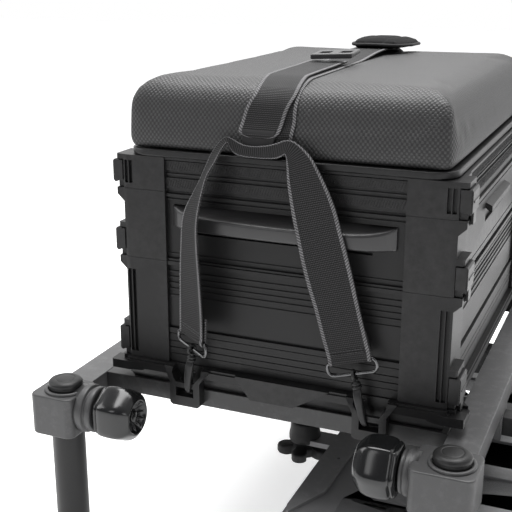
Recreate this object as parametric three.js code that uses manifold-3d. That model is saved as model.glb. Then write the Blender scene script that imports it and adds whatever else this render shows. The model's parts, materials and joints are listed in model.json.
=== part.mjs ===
// Fishing seat box: a stack of two trays and a drawer unit under a padded seat,
// on a metal frame with four sliding legs, a pull-out lattice footplate and a
// carrying strap that passes over the seat and clips to the frame on both sides.
// Millimetres, +Z up. X runs from the rear (-X) to the front (+X), Y from the
// near side (-Y) to the far side (+Y). The floor is Z = 0.
import * as THREE from "three";
import { mergeVertices } from "three/addons/utils/BufferGeometryUtils.js";
import Module from "manifold-3d";

const wasm = await Module();
wasm.setup();

// ---------------------------------------------------------------- dimensions
const HALF_X = 179; // box half width, wall of the front and rear faces
const HALF_Y = 228; // box half depth, face of the near and far corner blocks
const BLOCK_IN = 129; // inner edge of the corner blocks on the near and far faces
const BLOCK_IN_Y = 176; // inner edge of the corner blocks on the front and rear faces
const RECESS = 6; // depth of the recessed centre panels
const HOUSING_X = 187; // outer face of latch housings and keeper lugs
const GAP = 0.3; // clearance between touching pieces
const Z_RAIL = [188.2, 208.25]; // side rails
const Z_BASE = [208.55, 233.35]; // plastic base plate
const Z_DEEP = [233.65, 349.85]; // deep tray
const Z_DRAWER = [350.15, 425.85]; // drawer unit
const Z_SHALLOW = [426.15, 462.1]; // shallow tray
const Z_RIM = [462.4, 470.0]; // seat base rim
const Z_SEAT = [470.3, 542.6]; // cushion
const LEG_R = 18; // leg tube radius
const LEG_Y = 293; // leg axis, near and far
const LEG_X = [-222, 199.5]; // leg axes, rear and front
const KNOB_Z = 193; // clamp knob axis height
const DECK_Z = [80, 100]; // footplate
const DECK_X = [17, 330];
const DECK_Y = 262;
const ARM_Y = 88; // footplate arms
const LOCK_X = -19; // footplate locking screws
const ANCHOR_X = 104; // strap anchors, from the centre
const STRAP_T = 2.6; // webbing thickness
const ORIGIN_X = 39; // half way between the ends in X, from the box centre

// ------------------------------------------------------------------- helpers
const YZX = new THREE.Matrix4().makeBasis(
  new THREE.Vector3(0, 1, 0),
  new THREE.Vector3(0, 0, 1),
  new THREE.Vector3(1, 0, 0),
);
const ZXY = new THREE.Matrix4().makeBasis(
  new THREE.Vector3(0, 0, 1),
  new THREE.Vector3(1, 0, 0),
  new THREE.Vector3(0, 1, 0),
);

// A closed three.js geometry as a solid that can be joined and cut.
function solid(geometry) {
  let g = geometry.index ? geometry.toNonIndexed() : geometry.clone();
  g.deleteAttribute("normal");
  g.deleteAttribute("uv");
  g = mergeVertices(g, 1e-3);
  return new wasm.Manifold(
    new wasm.Mesh({
      numProp: 3,
      vertProperties: new Float32Array(g.attributes.position.array),
      triVerts: new Uint32Array(g.index.array),
    }),
  );
}

function box(xa, xb, ya, yb, za, zb) {
  const g = new THREE.BoxGeometry(
    Math.abs(xb - xa),
    Math.abs(yb - ya),
    Math.abs(zb - za),
  );
  g.translate((xa + xb) / 2, (ya + yb) / 2, (za + zb) / 2);
  return solid(g);
}

// An outline runs anticlockwise and its holes clockwise, whichever way they were listed.
function ring2(points, anticlockwise) {
  const v = points.map((p) => new THREE.Vector2(p[0], p[1]));
  return THREE.ShapeUtils.area(v) > 0 === anticlockwise ? v : v.reverse();
}
function shapeOf(points, holes = []) {
  const s = new THREE.Shape(ring2(points, true));
  for (const h of holes) s.holes.push(new THREE.Path(ring2(h, false)));
  return s;
}
const flat = { bevelEnabled: false, steps: 1 };

// An outline in X, Y drawn up along Z.
function upright(points, za, zb, holes) {
  const g = new THREE.ExtrudeGeometry(shapeOf(points, holes), {
    ...flat,
    depth: zb - za,
  });
  return g.translate(0, 0, za);
}
// An outline in Y, Z drawn along X.
function alongX(points, xa, xb, holes) {
  const g = new THREE.ExtrudeGeometry(shapeOf(points, holes), {
    ...flat,
    depth: xb - xa,
  });
  return g.applyMatrix4(YZX).translate(xa, 0, 0);
}
// An outline in X, Z drawn along Y.
function alongY(points, ya, yb, holes) {
  const turn = (list) => list.map((p) => [p[1], p[0]]);
  const g = new THREE.ExtrudeGeometry(
    shapeOf(turn(points), (holes || []).map(turn)),
    { ...flat, depth: yb - ya },
  );
  return g.applyMatrix4(ZXY).translate(0, ya, 0);
}
const prismZ = (...a) => solid(upright(...a));
const prismX = (...a) => solid(alongX(...a));
const prismY = (...a) => solid(alongY(...a));

// A profile of [radius, height] pairs turned about Z.
function turned(profile, segments) {
  return new THREE.LatheGeometry(
    profile.map((p) => new THREE.Vector2(p[0], p[1])),
    segments,
  ).rotateX(Math.PI / 2);
}
// The same, about an axis along +X or -X through a point.
function turnedX(profile, segments, at, sign = 1) {
  const g = turned(profile, segments);
  if (sign > 0) g.rotateY(Math.PI / 2);
  else g.rotateY(-Math.PI / 2);
  return solid(g.translate(...at));
}
function turnedZ(profile, segments, at) {
  return solid(turned(profile, segments).translate(...at));
}

function rounded(ax, bx, ay, by, r, n = 3) {
  const pts = [];
  const corners = [
    [bx - r, ay + r, -90],
    [bx - r, by - r, 0],
    [ax + r, by - r, 90],
    [ax + r, ay + r, 180],
  ];
  for (const [cx, cy, a] of corners)
    for (let i = 0; i <= n; i++) {
      const t = ((a + (90 * i) / n) * Math.PI) / 180;
      pts.push([cx + r * Math.cos(t), cy + r * Math.sin(t)]);
    }
  return pts;
}

const joined = (first, ...rest) => rest.reduce((a, b) => a.add(b), first);
const without = (first, ...rest) => rest.reduce((a, b) => a.subtract(b), first);

function geometryOf(s) {
  const m = s.getMesh();
  const n = m.numProp;
  const v = new Float32Array(m.numVert * 3);
  for (let i = 0; i < m.numVert; i++)
    v.set(m.vertProperties.subarray(i * n, i * n + 3), i * 3);
  const g = new THREE.BufferGeometry();
  g.setAttribute("position", new THREE.BufferAttribute(v, 3));
  g.setIndex(new THREE.BufferAttribute(new Uint32Array(m.triVerts), 1));
  return g;
}
// The geometry mirrored across X = 0 and/or Y = 0, faces still pointing out.
function mirrored(geometry, mx, my) {
  const g = geometry.clone();
  const sx = mx ? -1 : 1;
  const sy = my ? -1 : 1;
  g.scale(sx, sy, 1);
  if (sx * sy < 0) {
    const a = g.index.array;
    for (let i = 0; i < a.length; i += 3) [a[i + 1], a[i + 2]] = [a[i + 2], a[i + 1]];
  }
  return g;
}
// A copy mirrored as a solid, for cuts and joins on all sides of a piece.
const flip = (s, mx, my) => solid(mirrored(geometryOf(s), mx, my));
const fourWays = (make) => [make, flip(make, true, false), flip(make, false, true), flip(make, true, true)];

// ----------------------------------------------------------------- materials
const finish = (color, roughness, metalness) =>
  new THREE.MeshStandardMaterial({ color, roughness, metalness });
const MAT = {
  cover: finish(0x2b2b2f, 0.6, 0),
  tray: finish(0x252528, 0.5, 0),
  trim: finish(0x1d1d20, 0.45, 0),
  rail: finish(0x4a4b50, 0.42, 0.8),
  casting: finish(0x3a3b3f, 0.5, 0.7),
  leg: finish(0x36373b, 0.35, 0.85),
  knob: finish(0x161618, 0.22, 0),
  rubber: finish(0x1a1a1b, 0.8, 0),
  webbing: finish(0x232326, 0.85, 0),
  hardware: finish(0x3c3d42, 0.28, 0.95),
  buckle: finish(0x1b1b1d, 0.35, 0),
};

const root = new THREE.Group();
const box_frame = new THREE.Group();
box_frame.position.x = -ORIGIN_X;
root.add(box_frame);

function piece(name, shape, material, parent = box_frame) {
  const mesh = new THREE.Mesh(shape.isBufferGeometry ? shape : geometryOf(shape), material);
  mesh.name = name;
  parent.add(mesh);
  return mesh;
}

// --------------------------------------------------------------- tray shells
// Latch levers, by tray: bottom and top height, and the top of their housing.
const LATCH = {
  top: { tray: Z_SHALLOW, lever: [431.7, 456.0], house: Z_SHALLOW[1] },
  mid: { tray: Z_DRAWER, lever: [355.6, 381.2], house: 387.5 },
  low: { tray: Z_DEEP, lever: [239.0, 267.6], house: 275 },
};
const LEVER_Y = [-227.6, -197];

// The outer block of a tray: corner blocks proud, panels recessed on all sides.
function trayOutline() {
  const x = HALF_X, y = HALF_Y, c = 5;
  return [
    [-x + c, -y], [-BLOCK_IN, -y], [-BLOCK_IN, -y + RECESS], [BLOCK_IN, -y + RECESS], [BLOCK_IN, -y], [x - c, -y],
    [x, -y + 1.6], [x, -BLOCK_IN_Y], [x - RECESS, -BLOCK_IN_Y], [x - RECESS, BLOCK_IN_Y], [x, BLOCK_IN_Y], [x, y - 1.6],
    [x - c, y], [BLOCK_IN, y], [BLOCK_IN, y - RECESS], [-BLOCK_IN, y - RECESS], [-BLOCK_IN, y], [-x + c, y],
    [-x, y - 1.6], [-x, BLOCK_IN_Y], [-x + RECESS, BLOCK_IN_Y], [-x + RECESS, -BLOCK_IN_Y], [-x, -BLOCK_IN_Y], [-x, -y + 1.6],
  ];
}
// A strip on the recessed panel of all four faces, standing out by a depth.
function panelStrip(za, zb, out) {
  const y = HALF_Y - RECESS, x = HALF_X - RECESS;
  const near = box(-BLOCK_IN, BLOCK_IN, -y - out, -y + 1, za, zb);
  const right = box(x - 1, x + out, -BLOCK_IN_Y, BLOCK_IN_Y, za, zb);
  return [near, flip(near, false, true), right, flip(right, true, false)];
}
const nearFarStrips = (za, zb, out) => panelStrip(za, zb, out).slice(0, 2);

// The latch housing at the rear near corner, from its foot to its top.
function housing(z0, z1, cut) {
  const body = prismZ([[-HOUSING_X, -226.6 + 2], [-HOUSING_X + 2, -226.6], [-176, -226.6], [-176, -194], [-HOUSING_X, -194]], z0, z1);
  return without(
    body,
    box(-192, -178.6, -230, -223.6, z0 - 1, cut),
    box(-192, -185.9, -224, -196.4, z0 - 1, cut),
    box(-192, -183.2, -217.4, -202.6, z0 - 1, z0 + 6),
  );
}
// The keeper lug that the tray above latches on to: chamfered below, notched for the hook.
function keeper(zTop, drop = 15, chamfer = 7.6) {
  const lug = prismY(
    [[-HOUSING_X, zTop], [-177, zTop], [-177, zTop - drop - 2], [-HALF_X, zTop - drop], [-HOUSING_X, zTop - drop + chamfer]],
    -226.4, -194,
  );
  return without(lug, box(-190, -183.2, -217.4, -202.6, zTop - 6.6, zTop - 2.4));
}
function tray(name, z, details, wall, floor, latch, keeperToo, pockets = []) {
  let s = prismZ(trayOutline(), z[0], z[1]);
  const h = housing(z[0], latch.house, latch.lever[1] + 0.6);
  s = joined(s, ...fourWays(h));
  if (keeperToo) s = joined(s, ...fourWays(keeper(z[1])));
  // the lever swings in a pocket that also clears the corner block
  s = without(s, ...fourWays(box(-192, -178.6, -230, -223.6, z[0] - 1, latch.lever[1] + 0.6)));
  s = joined(s, ...details);
  s = without(s, box(-HALF_X + wall, HALF_X - wall, -HALF_Y + wall, HALF_Y - wall, z[0] + floor, z[1] + 5));
  return without(s, ...pockets);
}
const slots = (za, zb) => [
  ...fourWays(box(-176.6, -172.4, -230, -223.9, za, zb)),
  ...fourWays(box(-171.2, -167.2, -230, -223.9, za, zb)),
];

const shallow = tray(
  "shallow_tray", Z_SHALLOW,
  [
    ...panelStrip(459.7, Z_SHALLOW[1], 4.6),
    ...panelStrip(448.2, 458.4, 2.4),
    ...panelStrip(443.6, 445.0, 1.8),
    ...panelStrip(429.6, 440.4, 2.4),
  ],
  12, 2.6, LATCH.top, false, slots(431.7, 456.2),
);
piece("shallow_tray", shallow, MAT.tray);

const deep = tray(
  "deep_tray", Z_DEEP,
  [
    ...panelStrip(345.4, Z_DEEP[1], 4.4),
    ...panelStrip(336.4, 338.4, 1.4),
    ...panelStrip(329.8, 331.8, 1.4),
    ...panelStrip(323.4, 325.2, 1.4),
    ...panelStrip(317.0, 318.6, 1.4),
    ...panelStrip(276.0, 311.0, 1.2),
    ...panelStrip(Z_DEEP[0], 243.0, 2.2),
    ...panelStrip(243.9, 250.2, 2.8),
    ...panelStrip(251.1, 257.6, 2.8),
    ...panelStrip(258.5, 266.6, 2.8),
    ...panelStrip(267.6, 273.6, 3.6),
  ],
  11, 3, LATCH.low, true, slots(240, 336),
);
piece("deep_tray", deep, MAT.tray);

// Drawer unit: the shell is open at the front between its corner posts.
const DRAWER_W = BLOCK_IN_Y - 2.4; // half width of the drawer front
const drawerCase = tray(
  "drawer_case", Z_DRAWER,
  [
    ...nearFarStrips(420.4, 423.6, 3.2),
    ...nearFarStrips(416.6, 418.0, 1.6),
    ...nearFarStrips(Z_DRAWER[0], 352.6, 3.0),
    ...nearFarStrips(357.0, 358.4, 1.2),
    ...panelStrip(420.4, 423.6, 3.2).slice(3),
    ...panelStrip(Z_DRAWER[0], 352.6, 3.0).slice(3),
  ],
  11, 3, LATCH.mid, true,
  [
    box(HALF_X - 40, HALF_X + 12, -BLOCK_IN_Y + 1, BLOCK_IN_Y - 1, Z_DRAWER[0] + 3, 419.6),
    // hand room behind each grip
    box(-96, 96, -230, -HALF_Y + 9.2, 381, 405),
    box(-96, 96, 230, HALF_Y - 9.2, 381, 405),
  ],
);
piece("drawer_case", drawerCase, MAT.tray);

// The drawer: a front panel with a finger pull, and an open tray behind it.
const drawerBox = without(
  box(-160, 166, -168, 168, 353.6, 409),
  box(-157.5, 163.4, -165.5, 165.5, 356.2, 412),
);
const drawerFront = without(
  box(164, HALF_X - 3.2, -DRAWER_W, DRAWER_W, 353.7, 419.0),
  box(HALF_X - 6.4, HALF_X, -60, 60, 384, 402),
  box(HALF_X - 4.6, HALF_X, -DRAWER_W - 1, DRAWER_W + 1, 413.2, 414.6),
  box(HALF_X - 4.6, HALF_X, -DRAWER_W - 1, DRAWER_W + 1, 360.0, 361.4),
);
const drawerPull = prismY(
  [[HALF_X - 5.2, 407], [HALF_X - 5.2, 401.6], [HALF_X + 2.0, 395.4], [HALF_X + 4.2, 396.4], [HALF_X + 4.2, 402.4]],
  -62, 62,
);
piece("drawer", joined(drawerBox, drawerFront, drawerPull), MAT.tray);

// Bow-shaped grips on the near and far sides, hollow underneath for the fingers.
const gripOutline = [
  [-120.6, -222.3], [120.6, -222.3], [120.6, -224.6], [108, -233.4], [90, -239], [50, -242.4],
  [-50, -242.4], [-90, -239], [-108, -233.4], [-120.6, -224.6],
];
let grip = prismZ(gripOutline, 388.6, 412.4);
grip = without(
  grip,
  prismX([[-222.0, 412.2], [-250, 399.0], [-250, 420], [-222.0, 420]], -130, 130), // the top falls away outwards
  prismZ([[-96, -221.0], [96, -221.0], [90, -230.6], [56, -237.6], [-56, -237.6], [-90, -230.6]], 380, 399.4), // finger room
);
const gripGeo = geometryOf(grip);
piece("side_handle_near", gripGeo, MAT.trim);
piece("side_handle_far", mirrored(gripGeo, false, true), MAT.trim);

// ---------------------------------------------------------------------- seat
const rimG = new THREE.ExtrudeGeometry(shapeOf(rounded(-171.8, 171.8, -227.2, 227.2, 22, 4)), {
  depth: Z_RIM[1] - Z_RIM[0] - 3.2, bevelEnabled: true, bevelThickness: 1.6, bevelSize: 2.4, bevelSegments: 3, steps: 1,
}).translate(0, 0, Z_RIM[0] + 1.6);
piece(
  "seat_rim",
  joined(solid(rimG), without(box(-160, 160, -209, 209, 456.6, 463), box(-154, 154, -203, 203, 450, 462.4))),
  MAT.trim,
);
const SEAT_R = 27;
// Upright sides that turn over to a flat top; the plan's corners are tighter than the upper rim.
function domed(half) {
  const pts = [[-half, Z_SEAT[0]]];
  const at = (i) => [half - SEAT_R * (1 - Math.cos((i * Math.PI) / 12)), Z_SEAT[1] - SEAT_R * (1 - Math.sin((i * Math.PI) / 12))];
  for (let i = 0; i <= 6; i++) pts.push([-at(i)[0], at(i)[1]]);
  for (let i = 6; i >= 0; i--) pts.push(at(i));
  pts.push([half, Z_SEAT[0]]);
  return pts;
}
const cushion = prismX(domed(228), -172, 172)
  .intersect(prismY(domed(172), -228, 228))
  .intersect(prismZ(rounded(-172, 172, -228, 228, 17, 4), Z_SEAT[0], 600));
piece("seat_cushion", cushion, MAT.cover);

// -------------------------------------------------------------------- latches
for (const [level, { lever }] of Object.entries(LATCH)) {
  const [z0, z1] = lever;
  const plate = prismY(
    [[-190.9, z1 - 2.2], [-189.6, z1], [-186.8, z1], [-186.8, z0], [-189.4, z0], [-190.9, z0 + 2.2]],
    LEVER_Y[0] + 0.6, LEVER_Y[1],
  );
  const cheek = prismY(
    [[-189.4, z1 - 0.6], [-179.2, z1 - 0.6], [-179.2, z0 + 2.6], [-189.4, z0 + 0.4]],
    LEVER_Y[0], LEVER_Y[0] + 3.2,
  );
  const hook = prismY(
    [[-190.3, z0 + 2], [-187.5, z0 + 2], [-187.5, z0 - 8.4], [-184.4, z0 - 8.8], [-184.4, z0 - 11.0], [-190.3, z0 - 11.0]],
    -216.4, -203.6,
  );
  const rib = box(-191.7, -190.5, -222, -199.4, (z0 + z1) / 2 - 1, (z0 + z1) / 2 + 1);
  const g = geometryOf(joined(plate, cheek, hook, rib));
  piece("latch_rear_near_" + level, g, MAT.trim);
  piece("latch_front_near_" + level, mirrored(g, true, false), MAT.trim);
  piece("latch_rear_far_" + level, mirrored(g, false, true), MAT.trim);
  piece("latch_front_far_" + level, mirrored(g, true, true), MAT.trim);
}

// ----------------------------------------------------------------- base plate
// its lower edge slopes in, so that the rails' upper edges show as a ledge
const plateSkirt = prismX([[-232.6, 222.4], [-225.2, Z_BASE[0]], [225.2, Z_BASE[0]], [232.6, 222.4]], -181, 181)
  .intersect(prismY([[-181, 222.4], [-174.8, Z_BASE[0]], [174.8, Z_BASE[0]], [181, 222.4]], -236, 236));
let plate = joined(
  plateSkirt,
  prismZ(rounded(-182.5, 182.5, -234.2, 234.2, 6, 2), 222.4, 230.6),
  prismZ(rounded(-181, 181, -232.4, 232.4, 6, 2), 230.6, Z_BASE[1]),
);
// corner ears that rest on the beams and carry the lowest latch keepers
const ear = prismZ(
  [[-195.5, -236.0], [-176, -236.0], [-160, -232], [-160, -190], [-186, -190], [-198, -206], [-198, -233.5], [-197.3, -235.3]],
  219.6, 229.4,
);
const earKeeper = prismY([[-187, 226], [-178, 226], [-178, Z_BASE[1]], [-187, Z_BASE[1]]], -226.4, -194);
const earNotch = box(-200, -187.2, -217.4, -202.6, 226.4, 240);
const earCatch = box(-200, -183.2, -217.4, -202.6, 226.4, 231.0);
plate = joined(plate, ...fourWays(ear), ...fourWays(earKeeper));
plate = without(plate, ...fourWays(earNotch), ...fourWays(earCatch));
// raised middle of the near and far edges
const tongue = prismY([[-47, Z_BASE[1]], [-29, 208.9], [20, 208.9], [59, Z_BASE[1]]], -236.4, -228);
plate = joined(plate, tongue, flip(tongue, false, true));
// the plate is open in the middle, under the deep tray
plate = without(plate, box(-120, 120, -170, 170, 200, 240));
// strap anchors: a flared bracket with a bar, a pocket behind it and a window below
const ax = ANCHOR_X;
const anchorBody = prismY(
  [
    [ax - 27, 232.4], [ax + 27, 232.4], [ax + 18, 219], [ax + 18, 192.6], [ax + 15, 190.2], [ax - 15, 190.2],
    [ax - 18, 192.6], [ax - 18, 219],
  ],
  -241.6, -230.2,
);
const anchorSlope = prismX([[-242, 233], [-236, 233], [-242, 220.5]], 60, 150);
const anchor = without(anchorBody, anchorSlope, box(ax - 15, ax + 15, -231.6, -229, 188, 208.5));
const pocket = box(ax - 10.5, ax + 10.5, -237.2, -226.2, 201.6, 220);
const windowCut = box(ax - 10.5, ax + 10.5, -246, -226.2, 201.6, 211.8);
const mouth = prismY([[ax - 10.5, 217.6], [ax + 10.5, 217.6], [ax + 16.5, 227], [ax + 16.5, 240], [ax - 18, 240], [ax - 18, 227]], -246, -226.2);
let plateAnchored = joined(plate, ...fourWays(anchor));
plateAnchored = without(plateAnchored, ...fourWays(pocket), ...fourWays(windowCut), ...fourWays(mouth));
piece("base_plate", plateAnchored, MAT.trim);

// ---------------------------------------------------------------------- frame
const railG = geometryOf(
  without(
    box(-209.7, 181.7, -229.2, -205, Z_RAIL[0], Z_RAIL[1]),
    box(-230, 190, -226.4, -207.8, Z_RAIL[0] + 2.8, Z_RAIL[1] - 2.8),
    // clearance behind the strap anchors
    box(ax - 11.5, ax + 11.5, -232, -226.6, 200.6, 212),
    box(-ax - 11.5, -ax + 11.5, -232, -226.6, 200.6, 212),
  ),
);
piece("side_rail_near", railG, MAT.rail);
piece("side_rail_far", mirrored(railG, false, true), MAT.rail);

const rearBeam = prismY(
  [[-245, 181], [-242, 178], [-213, 178], [-210, 181], [-210, 208.2], [-245, 208.2]],
  -263.7, 263.7,
  [[[-242, 182], [-240, 181], [-215, 181], [-213, 182], [-213, 205.2], [-242, 205.2]]],
);
piece("rear_beam", rearBeam, MAT.rail);
const frontBeam = without(
  prismY(
    [[182, 181], [185, 178], [214, 178], [217, 181], [217, 208.2], [182, 208.2]],
    -263.7, 263.7,
    [[[185, 182], [187, 181], [212, 181], [214, 182], [214, 205.2], [185, 205.2]]],
  ),
);
// sleeves under the front beam, in which the footplate arms slide
const sleeve = without(
  joined(box(150, 217, -ARM_Y - 16, -ARM_Y + 16, 147, 178.6), box(182, 217, -ARM_Y - 16, -ARM_Y + 16, 176, 182)),
  box(140, 230, -ARM_Y - 11.5, -ARM_Y + 11.5, 151.5, 174.5),
);
piece("front_beam", joined(frontBeam, sleeve, flip(sleeve, false, true)), MAT.casting);

// Leg blocks: a bored clamp body with a threaded boss that carries the knob.
function legBlock(x, blockTo, bossTo, bossR, sideOut) {
  // x is the leg axis; blockTo and bossTo lie towards the knob
  const s = Math.sign(blockTo - x);
  const far = x - s * sideOut;
  const [a, b] = far < blockTo ? [far, blockTo] : [blockTo, far];
  const body = prismZ(rounded(a, b, -LEG_Y - 27, -264, 9, 3), 166, 212);
  const collarTop = turnedZ([[0, 0], [23, 0], [23, 2.2], [21.4, 3.4], [0, 3.4]], 14, [x, -LEG_Y, 211.6]);
  const boss = turnedX([[0, 0], [bossR, 0], [bossR, Math.abs(bossTo - blockTo) - 1.4], [bossR - 1.4, Math.abs(bossTo - blockTo)], [0, Math.abs(bossTo - blockTo)]], 16, [blockTo - s * 0.02, -LEG_Y + 3, KNOB_Z], s);
  const saddle = box(Math.max(a, x - 23), Math.min(b, x + 17.4), -272, -264, 176, 208.2);
  const bore = turnedZ([[0, -60], [LEG_R + 0.6, -60], [LEG_R + 0.6, 80], [0, 80]], 16, [x, -LEG_Y, 190]);
  const screw = turnedX([[0, 0], [6.6, 0], [6.6, 90], [0, 90]], 10, [x + s * 8, -LEG_Y + 3, KNOB_Z], s);
  return without(joined(body, collarTop, boss, saddle), bore, screw);
}
const rearBlock = geometryOf(legBlock(LEG_X[0], -200, -180, 26.5, 30));
const frontBlock = geometryOf(legBlock(LEG_X[1], 163, 152, 23, 26));
piece("leg_block_rear_near", rearBlock, MAT.casting);
piece("leg_block_rear_far", mirrored(rearBlock, false, true), MAT.casting);
piece("leg_block_front_near", frontBlock, MAT.casting);
piece("leg_block_front_far", mirrored(frontBlock, false, true), MAT.casting);

// Legs: round tubes with a domed cap, open below for the foot's stem.
const legProfile = [
  [0, 192], [LEG_R - 2.6, 192], [LEG_R - 2.6, 0], [LEG_R, 0], [LEG_R, 191.4], [LEG_R + 0.4, 191.6],
  [LEG_R + 0.4, 194.2], [LEG_R - 1.4, 196.6], [LEG_R - 6, 197.6], [0, 198],
];
function leg(x) {
  return geometryOf(turnedZ(legProfile, 16, [x, -LEG_Y, 27]));
}
// Feet: a ribbed disc with a ball stem that tilts inside the leg's end.
const footProfile = [
  [0, 0], [25.6, 0], [28, 2.4], [28, 7.4], [16, 12.4], [9, 16], [8.2, 20],
  [12.6, 23.4], [14.6, 29], [14.6, 33], [12.4, 39], [8, 43], [0, 45],
];
function foot(x) {
  return geometryOf(turnedZ(footProfile, 12, [x, -LEG_Y, 0]));
}
// Clamp knobs: six flats around a dished end face, on a screw.
function knobBody(from, to, r) {
  const s = Math.sign(to - from), L = Math.abs(to - from);
  let k = turnedX([[0, 0], [r - 5, 0], [r - 1.2, 3.6], [r, 9], [r - 0.4, L * 0.52], [r - 3.4, L - 6], [r - 9, L], [0, L]], 18, [from, -LEG_Y + 3, KNOB_Z], s);
  const cuts = [];
  for (let i = 0; i < 6; i++) {
    const g = new THREE.BoxGeometry(L + 20, 40, 10);
    g.translate((from + to) / 2, 0, r + 3.2);
    g.rotateX((i * Math.PI) / 3 + Math.PI / 6).translate(0, -LEG_Y + 3, KNOB_Z);
    cuts.push(solid(g));
  }
  k = without(k, ...cuts);
  k = without(k, turnedX([[0, 0], [r - 12.5, 0], [r - 11.5, 6], [0, 6]], 12, [to - s * 4.6, -LEG_Y + 3, KNOB_Z], s));
  return k;
}
function clampKnob(x, from, to, r) {
  const s = Math.sign(to - from);
  const screw = turnedX([[0, 0], [6, 0], [6, Math.abs(from - x) - LEG_R + 4], [0, Math.abs(from - x) - LEG_R + 4]], 10, [x + s * (LEG_R + 0.9), -LEG_Y + 3, KNOB_Z], s);
  return geometryOf(joined(knobBody(from, to, r), screw));
}
const rearKnob = clampKnob(LEG_X[0], -177.6, -134.6, 31);
const frontKnob = clampKnob(LEG_X[1], 151, 108, 31);
for (const [end, x, k] of [["rear", LEG_X[0], rearKnob], ["front", LEG_X[1], frontKnob]]) {
  const l = leg(x), f = foot(x);
  piece("leg_" + end + "_near", l, MAT.leg);
  piece("leg_" + end + "_far", mirrored(l, false, true), MAT.leg);
  piece("foot_" + end + "_near", f, MAT.rubber);
  piece("foot_" + end + "_far", mirrored(f, false, true), MAT.rubber);
  piece("clamp_knob_" + end + "_near", k, MAT.knob);
  piece("clamp_knob_" + end + "_far", mirrored(k, false, true), MAT.knob);
}

// ------------------------------------------------------------------ footplate
const [dx0, dx1] = DECK_X;
const chamfered = (xa, xb, ya, yb, c) => [
  [xa + c, ya], [xb - c, ya], [xb, ya + c], [xb, yb - c], [xb - c, yb], [xa + c, yb], [xa, yb - c], [xa, ya + c],
];
const deckHoles = [];
for (const s of [-1, 1]) {
  const y = (a, b) => (s < 0 ? [-b, -a] : [a, b]);
  deckHoles.push(chamfered(68, 92, ...y(200, 246), 5));
  deckHoles.push(chamfered(118, 300, ...y(200, 246), 7));
  deckHoles.push(chamfered(118, 300, ...y(15, 71), 8));
  deckHoles.push(chamfered(118, 300, ...y(105, 160), 8));
}
let deck = prismZ(chamfered(dx0, dx1, -DECK_Y, DECK_Y, 6), DECK_Z[0], DECK_Z[1] - 3.4, deckHoles);
// raised faces: the rear bar, the side bars and the front bar
const rearPad = [
  [dx0 + 1.2, -246], [22, -258], [24, -258], [47.5, -205], [48, -129], [52, -84], [52, 84], [48, 129], [47.5, 205], [24, 258],
  [22, 258], [dx0 + 1.2, 246],
];
deck = joined(
  deck,
  prismZ(rearPad, DECK_Z[0] + 10, DECK_Z[1]),
  prismZ(chamfered(304, dx1 - 2, -250, 250, 6), DECK_Z[0] + 10, DECK_Z[1]),
  prismZ(chamfered(96, 300, -12, 12, 4), DECK_Z[0] + 10, DECK_Z[1]),
  prismZ(chamfered(96, 300, -196, -164, 4), DECK_Z[0] + 10, DECK_Z[1] - 0.5),
  prismZ(chamfered(96, 300, 164, 196, 4), DECK_Z[0] + 10, DECK_Z[1] - 0.5),
  prismZ(chamfered(56, 300, -ARM_Y - 13, -ARM_Y + 13, 3), DECK_Z[0] + 10, DECK_Z[1] - 0.5),
  prismZ(chamfered(56, 300, ARM_Y - 13, ARM_Y + 13, 3), DECK_Z[0] + 10, DECK_Z[1] - 0.5),
);
// a tongue behind the rear bar at each arm, bored for the locking screw
const tongueOutline = (y) => [
  [dx0 + 8, y - 15], [LOCK_X - 8, y - 15], [LOCK_X - 15, y - 9], [LOCK_X - 17, y], [LOCK_X - 15, y + 9], [LOCK_X - 8, y + 15], [dx0 + 8, y + 15],
];
deck = joined(deck, prismZ(tongueOutline(-ARM_Y), 93.6, DECK_Z[1]), prismZ(tongueOutline(ARM_Y), 93.6, DECK_Z[1]));
const tapped = turnedZ([[0, 0], [6.6, 0], [6.6, 20], [0, 20]], 14, [LOCK_X, -ARM_Y, 86]);
const screwHole = turnedZ([[0, 0], [2.2, 0], [2.2, 9], [0, 9]], 10, [38, -129, DECK_Z[1] - 6]);
deck = without(deck, tapped, flip(tapped, false, true), screwHole, flip(screwHole, false, true));
piece("footplate_deck", deck, MAT.casting);

// Sliding arms: a square bar with a rear post and a front drop that carry the deck.
let arm = joined(
  box(LOCK_X - 11, 262, -ARM_Y - 11, -ARM_Y + 11, 152, 174),
  prismZ(rounded(LOCK_X - 11, LOCK_X + 11, -ARM_Y - 11, -ARM_Y + 11, 5, 2), DECK_Z[1] + GAP, 160),
  box(240, 262, -ARM_Y - 11, -ARM_Y + 11, DECK_Z[1] - 0.2, 160),
);
const postHole = turnedZ([[0, 0], [6.6, 0], [6.6, 22], [0, 22]], 14, [LOCK_X, -ARM_Y, 98]);
arm = without(arm, postHole);
const armG = geometryOf(arm);
piece("footplate_arm_near", armG, MAT.rail);
piece("footplate_arm_far", mirrored(armG, false, true), MAT.rail);

// Lobed locking knobs under the tongues, each with a screw up into the arm's post.
let lobed = turnedZ([[0, 0], [15, 0], [18, 2], [18, 11], [13, 13.6], [11.4, 17.2], [0, 17.2]], 20, [LOCK_X, -ARM_Y, 76]);
for (let i = 0; i < 5; i++) {
  const t = (i * 2 * Math.PI) / 5 + 3.52;
  const lobe = turnedZ([[0, 0], [7.6, 0], [9.4, 2], [9.4, 11.4], [7.8, 13.4], [0, 13.4]], 12, [LOCK_X + 24.4 * Math.cos(t), -ARM_Y + 24.4 * Math.sin(t), 76]);
  lobed = lobed.add(lobe);
}
lobed = joined(lobed, turnedZ([[0, 0], [6, 0], [6, 25], [0, 25]], 14, [LOCK_X, -ARM_Y, 92]));
const lobedG = geometryOf(lobed);
piece("footplate_knob_near", lobedG, MAT.rubber);
piece("footplate_knob_far", mirrored(lobedG, false, true), MAT.rubber);

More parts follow.
